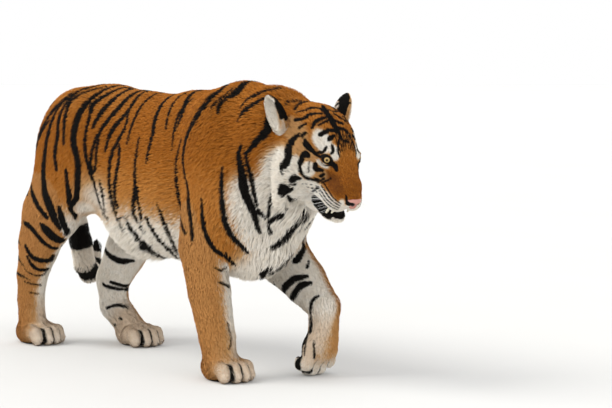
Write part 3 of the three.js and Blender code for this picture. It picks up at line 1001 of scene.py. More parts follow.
def all_strokes(skin):
    strokes = []
    for s in (-1, 1):
        for stripe in RUMP_STRIPES + FLANK_STRIPES + SHOULDER_STRIPES:
            strokes.append(side_stripe(skin, stripe, s))
        for stroke in FACE_STROKES:
            strokes.append(face_stroke(skin, stroke, s))
        for stroke in FINE_STROKES:
            strokes.append(face_stroke(skin, stroke, s, 0.9))
        for x, y, z in CHEEK_DOTS:
            strokes.append(face_stroke(skin, [(x, y, z, 2), (x + 3, y, z + 2, 2)], s, 0.8))
    strokes += [side_stripe(skin, stripe, -1) for stripe in RIGHT_LEG_STRIPES]
    strokes += [face_stroke(skin, stroke, -1) for stroke in CROWN_STROKES]
    mirror = [[(x, -y, z, wide) for x, y, z, wide in stripe] for stripe in REAR_STRIPES]
    for stripe in BREAST_STRIPES + REAR_STRIPES + mirror:
        rows = [(CM * x, CM * y, CM * z, bold(wide)) for x, y, z, wide in stripe]
        strokes.append(laid(skin, curve(rows)))
    for name, bars in LEG_BARS.items():
        strokes += [leg_bar(skin, name, *bar) for bar in bars]
    return strokes


def within(p, centre, radii, soft=0.35):
    """1 inside an egg, 0 outside it, and soft between."""
    off = np.linalg.norm((p - np.array(centre, float)) / np.array(radii, float), axis=1)
    return smoothstep(1 + soft, 1 - soft, off)


def along_tail(p):
    """How far down the tail each point is, in mm from its root."""
    joints = np.array(TAIL_JOINTS, float)[:, :3]
    best, found, start = np.full(len(p), FAR), np.zeros(len(p)), 0.0
    for a, b in zip(joints, joints[1:]):
        size = np.linalg.norm(b - a)
        t = np.clip((p - a) @ (b - a) / size**2, 0, 1)
        off = np.linalg.norm(p - a - t[:, None] * (b - a), axis=1)
        closer = off < best
        best[closer] = off[closer]
        found[closer] = start + t[closer] * size
        start += size
    return found


# Eggs of pale coat on the head's left, mirrored on its right: centre, radii and how pale.
PALE_PATCHES = [
    ((-200, 70, 90), (52, 28, 32), 1.0),  # over the eye
    ((-150, 48, 84), (36, 16, 22), 1.0),
    ((-146, 72, 34), (34, 19, 12), 1.0),  # under the eye
    ((-164, 108, 0), (30, 26, 34), 1.0),  # inside the cheek's arc
    ((-196, 112, 8), (80, 40, 62), 0.42),  # the cheekbone, tan
    ((-130, 80, 6), (40, 26, 22), 0.36),
    ((-290, 116, 50), (70, 40, 44), 0.40),  # the temple, tan
    ((-214, 122, -34), (34, 28, 46), 1.0),  # the cheek
    ((-60, 56, -52), (72, 34, 29), 1.0),  # the whisker pad
    ((-48, 36, -66), (66, 40, 26), 1.0),  # the upper lip
    ((-110, 60, -80), (56, 36, 24), 1.0),
    ((-18, 14, -50), (28, 34, 29), 1.0),  # under the nose
    ((-27, 35, -34), (14, 15, 22), 1.0),  # beside the nostril
    ((-120, 84, -54), (60, 36, 34), 1.0),
    ((-176, 108, -84), (60, 46, 50), 1.0),  # the jowl
    ((-272, 138, -104), (74, 60, 104), 1.0),  # the ruff
    ((-350, 104, 44), (24, 24, 28), 0.35),  # before the ear
]
BLACK_PATCHES = [  # the lips, the jaw's sides and the nostrils
    ((-104, 0, -93), (88, 74, 9)),
    ((-72, 0, -101), (60, 58, 8)),
    ((-98, 0, -112), (60, 80, 22)),
    *mirrored(lambda s: ((-8, s * 18, -15), (18, 15, 11))),
]

# How pale each paw is at the ankle and at the toes.
PAW_PALES = {
    "front_right": (0.18, 0.72),
    "front_left": (0.30, 1.0),
    "hind_right": (0.20, 0.8),
    "hind_left": (0.15, 0.76),
}

PART_NAMES = list(PARTS)
HEAD_ID, TAIL_ID, NECK_ID = (PART_NAMES.index(name) for name in ("head", "tail", "neck"))
PAW_IDS = [PART_NAMES.index(f"paw_{name}") for name in PAWS]
LEG_IDS = [PART_NAMES.index(f"leg_{name}") for name in LEGS]

EAR_RIM = {1: -0.45, -1: 0.0}  # how far round to the back the pale rim of each ear reaches
GAP_MOST = 15  # mm: further than this from black, or inside it, all is alike
LID_LINE = 4.2  # mm: the black line round the eye


def in_ear(q, facing, s):
    """Points of the head's frame in an ear's frame, and how far each faces into the cup."""
    axes = ear_axes(s)
    own = (q - sided(EAR_ROOT, s)) @ axes
    near = np.linalg.norm((own - (0, 0, 54)) / (40, 46, 76), axis=1) < 1
    return own, facing @ axes[:, 0], near


def ear_spot(own, s):
    """The white spot on an ear's back."""
    return within(own, (-30, 8 * s, 60), (34, 17, 20), 0.2)


def eye_rim(q, s):
    """The gap in mm to the edge of an eye's lids."""
    own = (q - sided(EYE_AT, s)) @ eye_axes(s)
    round_it = np.linalg.norm((own[:, 1:] - (0, -1.0 * s)) / (16.5, 10.7), axis=1)
    front = own[:, 0] > 0
    return np.where(front, (round_it - 1) * 13, FAR)


def nearer(gap, rows, share):
    """Brings the edge of black to where a share from 0 to 1 passes a half."""
    gap[rows] = np.minimum(gap[rows], 12 * (0.5 - share))


def toe_crease_shade(own):
    """The gap in mm to the painted shade in the creases between the toes, which widens to the claws."""
    between = np.min([np.abs(own[:, 1] - k * TOE_APART) for k in (-1, 0, 1)], axis=0)
    return np.where(own[:, 0] > 50, between - 4.2 * smoothstep(50, 120, own[:, 0]), FAR)


def ink_head(gap, p, normals, rows):
    """Brings in the black of those points of the head: the ears' backs, the lids, lips and nostrils."""
    q = (p[rows] - NOSE_TIP) @ HEAD_AXES
    facing = normals[rows] @ HEAD_AXES
    for s in (1, -1):
        own, inward, near = in_ear(q, facing, s)
        back = smoothstep(0.2, -0.1, inward - EAR_RIM[s]) * smoothstep(12, 26, own[:, 2])
        if s < 0:
            back = np.maximum(back, smoothstep(23, 31, own[:, 1]) * smoothstep(20, 40, own[:, 2]))
        nearer(gap, rows, near * back * (1 - ear_spot(own, s)))
        gap[rows] = np.minimum(gap[rows], eye_rim(q, s) - LID_LINE)
    for centre, radii in BLACK_PATCHES:
        nearer(gap, rows, within(q, centre, radii, 0.2))


def black_edge(p, normals, part, gap):
    """The gap in mm to the nearest black, from the gap to the nearest stroke. The black takes in painted
    shade between the toes.
    """
    gap = np.clip(gap, -GAP_MOST, GAP_MOST)
    tail = np.flatnonzero(part == TAIL_ID)
    down = along_tail(p[tail])
    rings = np.min([np.abs(down - at) - half for at, half in TAIL_RINGS], axis=0)
    gap[tail] = np.minimum(gap[tail], rings)
    ink_head(gap, p, normals, np.flatnonzero(part == HEAD_ID))
    for name, number in zip(PAWS, PAW_IDS):
        rows = np.flatnonzero(part == number)
        own = in_paw(p[rows], name)
        # the creases between the toes, painted as shade
        gap[rows] = np.minimum(gap[rows], toe_crease_shade(own))
        nearer(gap, rows, within(own, (50, 0, 0), (76, 70, 15), 0.15))  # the sole
    return np.clip(gap, -GAP_MOST, GAP_MOST)


def pale_trunk(p, outward, loose):
    """How pale the trunk is: the belly, the flank's fold, the breast and the brisket."""
    x, _, z = p.T
    pale = smoothstep(625, 510, z + loose + 0.1 * np.abs(x + 60)) * (x < 300)
    for side in (1, -1):
        pale = np.maximum(pale, within(p, (-280, side * 170, 545), (115, 80, 110), 0.5))
        pale = np.maximum(pale, within(p, (-360, side * 150, 520), (70, 70, 60), 0.4))
    breast = smoothstep(480, 525, x + 0.6 * loose) * smoothstep(735, 680, z + loose)
    brisket = within(p, (410, 0, 440), (190, 118, 130), 0.25)
    under = smoothstep(0.25, -0.15, outward + 0.004 * loose) * smoothstep(640, 560, z)
    return np.max([pale, breast, brisket, under], axis=0)


def inner_side(p, outward, legs, loose):
    """How far each point is on the inner side of its leg, from 0 to 1."""
    x, y, z = p.T
    s = np.sign(y)
    turn = np.where(x < 0, 0.65 * smoothstep(500 + 60 * s, 300 + 100 * s, z), 0)
    fore = 0.22 * (legs & (x > 0) & (y < 0))
    return smoothstep(0.35, -0.55, outward - turn - fore + 0.008 * loose)


def fade_to_paws(pale, p, part, inner, loose):
    """Brings the paleness of each leg over to its paw's."""
    for name, number, leg in zip(PAWS, PAW_IDS, LEG_IDS):
        rows = np.flatnonzero((part == number) | (part == leg))
        own = in_paw(p[rows], name)
        ankle, toes = PAW_PALES[name]
        here = ankle + (toes - ankle) * smoothstep(10, 115, own[:, 0] + loose[rows])
        here = np.maximum(here, 0.75 * inner[rows])
        share = smoothstep(170, 80, np.linalg.norm(own - (30, 0, 40), axis=1) + loose[rows])
        pale[rows] += share * (here - pale[rows])


def pale_face(q, facing):
    """How pale the head is: its patches, the chin and throat, and the ears' cups, rims and spots."""
    pale = smoothstep(-78, -100, q[:, 2]) * (q[:, 0] > -330)
    for side in (1, -1):
        for centre, radii, most in PALE_PATCHES:
            pale = np.maximum(pale, most * within(q, sided(centre, side), radii, 0.25))
        own, inward, near = in_ear(q, facing, side)
        cup = near * smoothstep(-0.1, 0.3, inward)
        cup = np.maximum(cup, 0.5 * near * (inward > EAR_RIM[side] - 0.1))
        cup = np.maximum(cup, near * ear_spot(own, side))
        # Less pale deep in the cup near its root: partly the orange at the cup's base, partly painted shade
        # in the hollow.
        cup = cup * (1 - 0.5 * within(own, (0, -16 * side, 34), (30, 18, 36), 0.5))
        pale = np.maximum(pale, cup)
    return pale


def pale_of(p, normals, part, loose):
    """How pale the coat is, from orange to cream. Loose moves the edges, in mm."""
    outward = normals[:, 1] * np.sign(p[:, 1])
    legs = np.isin(part, LEG_IDS)
    inner = inner_side(p, outward, legs, loose)
    pale = np.where(legs, np.maximum(inner, 0.2), pale_trunk(p, outward, loose))
    left_front = legs & (p[:, 0] > 300) & (p[:, 1] > 0)
    pale[left_front] = np.maximum(pale, smoothstep(0.55, -0.1, outward + 0.008 * loose))[left_front]
    fade_to_paws(pale, p, part, inner, loose)
    tail = part == TAIL_ID
    pale[tail] = 0.35 + 0.6 * smoothstep(100, 420, along_tail(p[tail]) + 2 * loose[tail])
    rows = np.flatnonzero((part == HEAD_ID) | (part == NECK_ID))
    q = (p[rows] - NOSE_TIP) @ HEAD_AXES + 0.25 * loose[rows, None] * np.array([1, 0, 0.6])
    on_head = pale_face(q, normals[rows] @ HEAD_AXES)
    pale[rows] = np.where(part[rows] == HEAD_ID, on_head, np.maximum(pale[rows], on_head))
    return np.clip(pale, 0, 1)


def tone_of(p, part):
    """From deep rust, 0, to light gold, 1, with painted light on top of the back and rump, and painted
    shade at the rear of the haunches and on the muzzle's sides.
    """
    x, _, z = p.T
    # The gold low on the flanks is the coat's own. The rise over z 860 is painted light from the sky on the
    # back.
    tone = 0.47 + 0.3 * smoothstep(800, 600, z) + 0.08 * smoothstep(860, 960, z)
    # Darker at the rear of the haunches and down the hind legs: painted shade.
    tone = tone - 0.2 * smoothstep(-300, -600, x) * smoothstep(800, 600, z)
    tone = tone + 0.12 * smoothstep(-420, -260, x) * smoothstep(260, 60, x) * smoothstep(760, 620, z)
    # Lighter on top of the loin and rump: painted light from the sky.
    tone = tone + 0.15 * smoothstep(-60, -260, x) * smoothstep(830, 920, z)
    q = (p - NOSE_TIP) @ HEAD_AXES
    # The muzzle's coat is browner. Its sides are darker still, which is painted shade beside the bridge.
    muzzle_brown_and_shade = 0.32 * within(q, (-80, 0, 10), (110, 60, 60), 0.5)
    for side in (1, -1):
        muzzle_brown_and_shade = np.maximum(muzzle_brown_and_shade, 0.66 * within(q, (-84, side * 48, 6), (56, 24, 30), 0.7))
    return np.where(part == HEAD_ID, 0.62 - muzzle_brown_and_shade, tone)


class Coat:
    """What the coat and the skin are painted with, at points of the skin."""

    def __init__(self, skin):
        self.paint = Paint(all_strokes(skin))

    def colours(self, p, normals, part, reach, jitter):
        """Rows of the gap to black in mm, paleness, tone and reach, which the coat's material reads and
        paints as shade, darker towards the roots.
        Jitter loosens the edges, less on the face, where the markings are fine."""
        on_face = part == HEAD_ID
        gap = black_edge(p, normals, part, self.paint.gap(p))
        gap += jitter * np.where(on_face, 0.5, 1.4)
        pale = pale_of(p, normals, part, jitter * np.where(on_face, 6, 16))
        tone = tone_of(p, part) + jitter * np.where(on_face, 0.2, 0.12)
        return np.stack([gap, pale, np.clip(tone, 0, 1), np.broadcast_to(reach, gap.shape)], axis=1)


# ---------------------------------------------------------------- the coat

COAT_PIECE = 60_000  # tufts to a piece, of three triangles each
UV_PATCH = 0.003  # a tuft's patch on the unwrap
CHART_GAP = 12  # mm between the charts of the unwrap
PAINTED_AT = ((0.1, 0.0), (0.5, 0.6), (0.95, 1.0))  # PAINTED_AT = ((0.1, 0.0), (0.5, 0.6), (0.95, 1.0)) # how far along a tuft, and the reach it is given, which sets its painted root shade
LOCK = 9  # tufts to a lock, whose tips are drawn together
ROOT_UNDER = 0.8  # mm that a tuft's root is sunk under the skin


def picked(skin, count):
    """Places spread over the skin, closer together where the coat is short: triangles and weights."""
    corners = skin.points[skin.tris]
    sides = corners[:, 1:] - corners[:, :1]
    area = np.linalg.norm(np.cross(sides[:, 0], sides[:, 1]), axis=1) / 2
    depth = skin.depth[skin.tris].mean(axis=1)
    length = tuft_length(depth)
    chance = area / (length * tuft_width(length)) * furred(corners.mean(axis=1), depth)
    which = rng.choice(len(area), count, p=chance / chance.sum())
    a, b = rng.random((2, count))
    over = a + b > 1
    a, b = np.where(over, 1 - a, a), np.where(over, 1 - b, b)
    return which, np.stack([1 - a - b, a, b], axis=1)


def tuft_length(depth):
    return 1.3 * np.clip(depth, 0, 36) + 5.5


def tuft_width(length):
    return 0.05 * length + 0.8


def furred(p, depth):
    """1 where hair grows: not on the nose, the lids' edges, the lips' inside and the pads."""
    q = (p - NOSE_TIP) @ HEAD_AXES
    bare = within(q, (-8, 0, -16), (19, 28, 20), 0.05)
    bare = np.maximum(bare, within(q, (-96, 0, -93), (78, 58, 8), 0.05))
    for s in (1, -1):
        bare = np.maximum(bare, eye_rim(q, s) < 2.6)
    own = in_paw(p, "front_left")
    pads = within(own, (38, 0, 0), (32, 30, 12), 0.05)
    for k in TOES:
        toe_pad = within(own, (toe_reach(k) - 22, k * TOE_APART, 2), (16, 13, 10), 0.05)
        pads = np.maximum(pads, toe_pad)
    return (1 - np.maximum(bare, pads)) * (depth > 1.5) * (p[:, 2] > 4)


def wave(p, size, phase):
    """A soft wave through space, between -1 and 1."""
    a, b, c = (p / size).T
    return np.sin(a + 1.7 * np.sin(b + phase)) * np.cos(c + 1.3 * np.sin(a + 2 * phase))


def swung(way, normal, angle):
    """Directions on the skin turned about its normal."""
    c, s = np.cos(angle)[:, None], np.sin(angle)[:, None]
    return way * c + np.cross(normal, way) * s


def drawn_together(places, tips, share, far=16):
    """Tips pulled towards the tip of a chosen neighbour, which makes locks."""
    chosen = np.arange(0, len(places), LOCK)
    tree = KDTree(len(chosen))
    for n, p in enumerate(places[chosen]):
        tree.insert(p, n)
    tree.balance()
    found = [tree.find(p)[1:] for p in places.tolist()]
    to, off = chosen[[n for n, _ in found]], np.array([d for _, d in found])
    pull = share * smoothstep(far, 0.3 * far, off)
    return pull[:, None] * (tips[to] - tips)


class Tufts:
    """The coat's blades: five corners each, a pair at the root, a pair part way and the tip."""

    def __init__(self, skin, coat, count):
        which, weights = picked(skin, count)
        corner = skin.tris[which]

        def at(values):
            return (values[corner] * weights[..., None]).sum(axis=1)

        self.root, self.normal = at(skin.points), unit(at(skin.normals))
        depth = at(skin.depth[:, None])[:, 0]
        self.part = skin.part[corner[:, 0]]
        self.way = self.combed(at(skin.lie))
        length = tuft_length(depth) * rng.uniform(0.75, 1.2, count)
        height = depth * rng.uniform(0.6, 1.05, count)
        self.run = np.sqrt(np.maximum(length**2 - height**2, 0.2 * length**2))[:, None]
        self.corners = self.grown(depth, length, height[:, None])
        self.colour = self.dyed(coat)

    def combed(self, lie):
        """The way each tuft runs over the skin, with soft swirls and some disorder."""
        swirl = 0.16 * wave(self.root, 60, 1.0) + 0.10 * wave(self.root, 23, 2.0)
        swirl += rng.normal(0, 0.13, len(lie))
        return swung(laid_flat(lie, self.normal), self.normal, swirl)

    def along(self, share):
        """Places on the skin under each tuft, from 0 at its root to 1 under its tip."""
        return self.root + share * self.run * self.way

    def grown(self, depth, length, height):
        """The blades' corners. Long ones droop, and the tips of a lock are drawn together."""
        count, normal = len(depth), self.normal
        droop = np.zeros_like(self.root)
        droop[:, 2] = -0.25 * smoothstep(14, 32, depth) * length
        tip = self.along(1) + height * normal + droop
        pull = drawn_together(self.root, tip, 0.45)
        tip = tip + pull
        middle = self.along(0.45) + 0.86 * height * normal + 0.3 * droop + 0.3 * pull
        across = swung(np.cross(normal, self.way), self.way, rng.normal(0, 0.3, count))
        half = 0.5 * (tuft_width(length) * rng.uniform(0.8, 1.25, count))[:, None] * across
        root, upper = self.root - ROOT_UNDER * normal, 0.85 * half
        corners = np.stack([root - half, root + half, middle - upper, middle + upper, tip], axis=1)
        corners[..., 2] = np.maximum(corners[..., 2], 0.5)
        return corners

    def dyed(self, coat):
        """The paint of each tuft at its root, part way and at its tip."""
        jitter = rng.normal(0, 1, len(self.root))
        colours = [
            coat.colours(self.along(share), self.normal, self.part, reach, jitter)
            for share, reach in PAINTED_AT
        ]
        return np.stack(colours, axis=1)

    def piece(self, name, rows, material):
        """A mesh of those blades, with their paint and their places on the unwrap."""
        first = 5 * np.arange(len(rows))[:, None, None]
        faces = (first + np.array([[0, 1, 3], [0, 3, 2], [2, 3, 4]])).reshape(-1, 3)
        made = mesh_object(name, self.corners[rows].reshape(-1, 3), faces, material)
        painted(made, self.colour[rows][:, [0, 0, 1, 1, 2]].reshape(-1, 4))
        places = unwrapped(self.root[rows], self.normal[rows], self.part[rows])
        patch = UV_PATCH * np.array([[-0.4, -0.5], [0.4, -0.5], [-0.4, 0.2], [0.4, 0.2], [0, 0.5]])
        places = (places[:, None] + patch).reshape(-1, 2)
        lay_uv(made, places[faces.ravel()])
        return made


def painted(piece, colour):
    layer = piece.data.attributes.new("coat", "FLOAT_COLOR", "POINT")
    layer.data.foreach_set("color", colour.astype(np.float32).ravel())


def measured(piece, name, values):
    """Gives each vertex a number that a material reads by its name."""
    layer = piece.data.attributes.new(name, "FLOAT", "POINT")
    layer.data.foreach_set("value", values)


def lay_uv(piece, places):
    layer = piece.data.uv_layers.new(name="OFBake")
    layer.data.foreach_set("uv", places.astype(np.float32).ravel())


def unwrapped(points, normals, part):
    """Places on a flat unwrap: each side of each part, square on, packed in rows."""
    axis = np.abs(normals).argmax(axis=1)
    rows = np.arange(len(points))
    chart = 6 * part + 2 * axis + (normals[rows, axis] > 0)
    flat = np.stack([points[rows, (axis + 1) % 3], points[rows, (axis + 2) % 3]], axis=1)
    names, chart = np.unique(chart, return_inverse=True)
    low = np.array([flat[chart == n].min(axis=0) for n in range(len(names))])
    size = np.array([flat[chart == n].max(axis=0) for n in range(len(names))]) - low + CHART_GAP
    width = 1.15 * math.sqrt(size.prod(axis=1).sum())
    width = max(width, size[:, 0].max())
    corner, x, y, tall = np.zeros_like(low), 0.0, 0.0, 0.0
    for n in np.argsort(-size[:, 1]):
        if x + size[n, 0] > width:
            x, y, tall = 0.0, y + tall, 0.0
        corner[n] = x, y
        x, tall = x + size[n, 0], max(tall, size[n, 1])
    span = max(width, y + tall)
    places = (flat - low[chart] + corner[chart] + CHART_GAP / 2) / span
    return np.clip(places, UV_PATCH, 1 - UV_PATCH)


COAT_GROUPS = {
    "head": ["head"],
    "neck": ["neck"],
    "trunk": ["trunk"],
    "hindlegs": ["leg_hind_right", "leg_hind_left", "paw_hind_right", "paw_hind_left"],
    "forelegs": ["leg_front_right", "leg_front_left", "paw_front_right", "paw_front_left"],
    "tail": ["tail"],
}


def make_coat(skin, coat, material):
    tufts = Tufts(skin, coat, TUFTS)
    for group, names in COAT_GROUPS.items():
        rows = np.flatnonzero(np.isin(tufts.part, [PART_NAMES.index(name) for name in names]))
        rows = rows[np.argsort(tufts.root[rows, 0], kind="stable")]
        pieces = math.ceil(len(rows) / COAT_PIECE)
        for n, some in enumerate(np.array_split(rows, pieces), 1):
            made = tufts.piece(f"coat_{group}_{n}", some, material)
            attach(made, "root")


# ---------------------------------------------------------------- materials


class Nodes:
    """A material's nodes, made and joined in short calls."""

    def __init__(self, name):
        self.material = bpy.data.materials.new(name)
        self.material.use_nodes = True
        self.tree = self.material.node_tree
        self.shader = self.tree.nodes["Principled BSDF"]

    def node(self, kind, **inputs):
        made = self.tree.nodes.new(kind)
        for name, value in inputs.items():
            self.join(value, made.inputs[name])
        return made

    def join(self, value, socket):
        if isinstance(value, bpy.types.NodeSocket):
            self.tree.links.new(value, socket)
        else:
            socket.default_value = value

    def painted(self, name):
        """The node that reads an attribute of the mesh."""
        made = self.tree.nodes.new("ShaderNodeAttribute")
        made.attribute_name = name
        return made

    def shade(self, **inputs):
        for name, value in inputs.items():
            self.join(value, self.shader.inputs[name.replace("_", " ")])

    def calc(self, operation, a, b):
        made = self.tree.nodes.new("ShaderNodeMath")
        made.operation = operation
        self.join(a, made.inputs[0])
        self.join(b, made.inputs[1])
        return made.outputs[0]

    def mix(self, factor, a, b, kind="MIX"):
        made = self.tree.nodes.new("ShaderNodeMix")
        made.data_type, made.blend_type, made.clamp_factor = "RGBA", kind, True
        for value, socket in ((factor, made.inputs[0]), (a, made.inputs[6]), (b, made.inputs[7])):
            self.join(value, socket)
        return made.outputs[2]

    def mapped(self, value, low, high, to_low, to_high):
        """A value carried over from one range to another."""
        ends = {"From Min": low, "From Max": high, "To Min": to_low, "To Max": to_high}
        return self.node("ShaderNodeMapRange", Value=value, **ends).outputs[0]

    def ramp(self, value, stops):
        """A value's colour, between stops of a place from 0 to 1 and its colour."""
        made = self.tree.nodes.new("ShaderNodeValToRGB")
        elements = made.color_ramp.elements
        while len(elements) < len(stops):
            elements.new(0.5)
        for element, (place, colour) in zip(elements, stops):
            element.position, element.color = place, colour
        self.join(value, made.inputs[0])
        return made.outputs[0]

    def noise(self, scale, detail):
        """Noise in the row's frame, in waves to the metre."""
        place = self.tree.nodes.new("ShaderNodeTexCoord").outputs["Object"]
        made = self.node("ShaderNodeTexNoise", Vector=place, Scale=scale, Detail=detail)
        return made.outputs[0]

    def bump(self, height, strength, distance):
        made = self.node("ShaderNodeBump", Height=height, Strength=strength, Distance=distance)
        return made.outputs[0]


DEEP = (0.16, 0.052, 0.012, 1)
ORANGE = (0.37, 0.118, 0.012, 1)
GOLD = (0.56, 0.24, 0.055, 1)
SAND = (0.60, 0.36, 0.155, 1)
CREAM = (0.77, 0.68, 0.55, 1)
WHITE = (0.92, 0.89, 0.83, 1)
BLACK = (0.008, 0.007, 0.006, 1)
INK_EDGE = 1.2  # mm to each side of the edge of black in which the coat darkens
SKIN_REACH = 0.45  # how near to the tufts' tips the skin under them is shaded as

# The eye's rings, from the gaze outward in half turns: pupil, iris, its dark edge and the rim.
EYE_RINGS = [
    (0.0, (0.003, 0.002, 0.002, 1)),
    (0.052, (0.003, 0.002, 0.002, 1)),
    (0.060, (0.36, 0.23, 0.08, 1)),
    (0.132, (0.60, 0.42, 0.17, 1)),
    (0.158, (0.20, 0.10, 0.02, 1)),
    (0.166, (0.008, 0.005, 0.004, 1)),
]


def coat_material(name, on_skin):
    """The coat's colours from its paint: the gap to black in mm, paleness, tone, and root to tip, by which
    the roots are painted darker as shade among the hairs.
    """
    n = Nodes(name)
    paint = n.painted("coat")
    split = n.node("ShaderNodeSeparateColor", Color=paint.outputs["Color"])
    gap, pale, tone = (split.outputs[k] for k in range(3))
    ink = n.mapped(gap, INK_EDGE, -INK_EDGE, 0.0, 1.0)
    rust = n.ramp(tone, [(0.0, DEEP), (0.5, ORANGE), (1.0, GOLD)])
    cream = n.mix(n.noise(46, 3), CREAM, WHITE)
    pale_gold = n.mix(n.calc("MULTIPLY", pale, 1.6), rust, SAND)
    base = n.mix(n.calc("SUBTRACT", n.calc("MULTIPLY", pale, 2.0), 1.0), pale_gold, cream)
    # Painted shade: the coat darkens from its tips to its roots, and the skin under it is painted darker
    # still.
    light = n.mapped(SKIN_REACH if on_skin else paint.outputs["Alpha"], 0.0, 1.0, 0.70, 1.06)
    root_shade = n.node("ShaderNodeCombineColor", Red=light, Green=light, Blue=light).outputs[0]
    colour = n.mix(ink, n.mix(1.0, base, root_shade, "MULTIPLY"), BLACK)
    n.shade(Base_Color=colour, Roughness=0.75, Specular_IOR_Level=0.06)
    if on_skin:
        n.shade(Normal=n.bump(n.noise(420, 3), 0.5, 0.002))
    return n.material


def eye_material():
    n = Nodes("eye")
    rings = n.ramp(n.painted("angle").outputs["Fac"], EYE_RINGS)
    flecks = n.mix(n.calc("MULTIPLY", n.noise(700, 2), 0.5), rings, (0.02, 0.01, 0.004, 1))
    n.shade(Base_Color=flecks, Roughness=0.4, Specular_IOR_Level=0.0)
    n.shade(Coat_Weight=0.4, Coat_Roughness=0.02)
    return n.material


def nose_material():
    n = Nodes("nose")
    pink = n.mix(n.noise(90, 3), (0.42, 0.17, 0.13, 1), (0.55, 0.27, 0.22, 1))
    # Near black inside the nostrils: painted shade in their hollows.
    dark = n.painted("dark").outputs["Fac"]
    n.shade(Base_Color=n.mix(dark, pink, (0.012, 0.008, 0.008, 1)), Roughness=0.42)
    n.shade(Normal=n.bump(n.noise(300, 3), 0.35, 0.0008))
    return n.material


def horn_material(name, colour, other, roughness):
    """Tooth, claw or whisker: two near colours in soft patches, with a fine grain."""
    n = Nodes(name)
    n.shade(Base_Color=n.mix(n.noise(90, 3), colour, other), Roughness=roughness)
    n.shade(Normal=n.bump(n.noise(300, 3), 0.35, 0.0008))
    return n.material


# ---------------------------------------------------------------- eyes, nose, teeth, claws, whiskers


def dome(rows, columns):
    """Directions over a sphere, ring by ring from +X to -X, and the faces between them."""
    polar = np.linspace(0, math.pi, rows)
    around = np.arange(columns) * 2 * math.pi / columns
    u, v = np.meshgrid(polar, around, indexing="ij")
    ways = np.stack([np.cos(u), np.sin(u) * np.cos(v), np.sin(u) * np.sin(v)], axis=-1).reshape(-1, 3)
    i, j = np.meshgrid(np.arange(rows - 1), np.arange(columns), indexing="ij")
    a, b = i * columns + j, i * columns + (j + 1) % columns
    return ways, np.stack([a, a + columns, b + columns, b], axis=-1).reshape(-1, 4), u.ravel() / math.pi


def head_to_world(q):
    return NOSE_TIP + np.asarray(q, float) @ HEAD_AXES.T


def make_eye(s, material):
    """An eyeball with the cornea's bulge, turned to its gaze."""
    ways, faces, polar = dome(61, 48)
    bulge = 1.4 * smoothstep(0.24, 0.0, polar)
    places = ways * (EYE_R - 0.2 + bulge)[:, None]
    points = head_to_world(sided(EYE_AT, s) + places @ eye_axes(s).T)
    side = "left" if s > 0 else "right"
    eye = mesh_object(f"eyeball_{side}", points, faces if s > 0 else faces[:, ::-1], material)
    measured(eye, "angle", polar)
    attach(eye, "root")
    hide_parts(f"eye_{side}")


def tube(line, radii, sides):
    """A tapering tube along a line of points."""
    line = np.array(line, float)
    ahead = unit(np.gradient(line, axis=0))
    across = unit(np.cross(ahead, [0.13, 0.2, 0.97]))
    up = np.cross(ahead, across)
    turn = np.arange(sides) * 2 * math.pi / sides
    ring = np.cos(turn)[:, None] * across[:, None] + np.sin(turn)[:, None] * up[:, None]
    points = (line[:, None] + np.array(radii)[:, None, None] * ring).reshape(-1, 3)
    i, j = np.meshgrid(np.arange(len(line) - 1), np.arange(sides), indexing="ij")
    a, b = i * sides + j, i * sides + (j + 1) % sides
    return points, np.stack([a, b, b + sides, a + sides], axis=-1).reshape(-1, 4)


def bent(start, reach, bend, count):
    """Points along a line that bends as it goes, and how far along each is, from 0 to 1."""
    t = np.linspace(0, 1, count)[:, None]
    return np.array(start) + np.array(reach) * t + np.array(bend) * t**2, t[:, 0]


def joined(parts):
    points, faces, start = [], [], 0
    for some, quads in parts:
        points.append(some)
        faces.append(quads + start)
        start += len(some)
    return np.concatenate(points), np.concatenate(faces)


WHISKER_ROWS, WHISKERS_IN_ROW = 4, 5


def whisker(s, row, k):
    """The k-th whisker of a row, from the nose back."""
    start = [-34 - 15 * k, s * (44 + 6 * k - 2 * row), -26 - 9 * row]
    way = unit(np.array([0.05 - 0.17 * k, s, -0.05 - 0.13 * row + rng.normal(0, 0.08)]))
    size = 105 - 12 * abs(k - 2) + rng.uniform(-10, 10)
    line, t = bent(start, size * way, [-16, 0, -26], 9)
    return tube(head_to_world(line), 0.42 * (1.05 - t), 4)


def make_whiskers(material):
    rows, columns = range(WHISKER_ROWS), range(WHISKERS_IN_ROW)
    hairs = [whisker(s, row, k) for s in (1, -1) for row in rows for k in columns]
    made = mesh_object("whiskers", *joined(hairs), material)
    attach(made, "root")


NOSTRILS = mirrored(
    lambda s: Blend(
        4,
        egg([-1, s * 14, -13], [12, 8, 7.5], 0, s * 38, coat=0),
        egg([-9, s * 24, -13], [13, 9, 5.5], 0, s * 30, coat=0),
    )
)
NOSE_CELL = 1.25
NOSE = Carved(
    2.5,
    Blend(
        9,
        face(egg, [-13, 0, -8], [18, 27, 13], 14, coat=0),
        face(egg, [-12, 0, -25], [14, 13, 16], 14, coat=0),
    ),
    *NOSTRILS,
    egg([4, 0, -30], [12, 1.5, 22], 8, coat=0),
)


def make_nose():
    grid = Grid(-36, 12, 30, 30, 18, -10, cell=lambda x: np.full_like(x, NOSE_CELL))
    points, quads = grid.surface(grid.sampled(NOSE))
    inside = np.min([nostril.survey(points)[1] for nostril in NOSTRILS], axis=0)
    nose = mesh_object("nose", head_to_world(points), quads, nose_material())
    # The nostrils' hollows are marked for the nose's painted shade.
    measured(nose, "dark", smoothstep(3, 0, inside))
    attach(nose, "root")


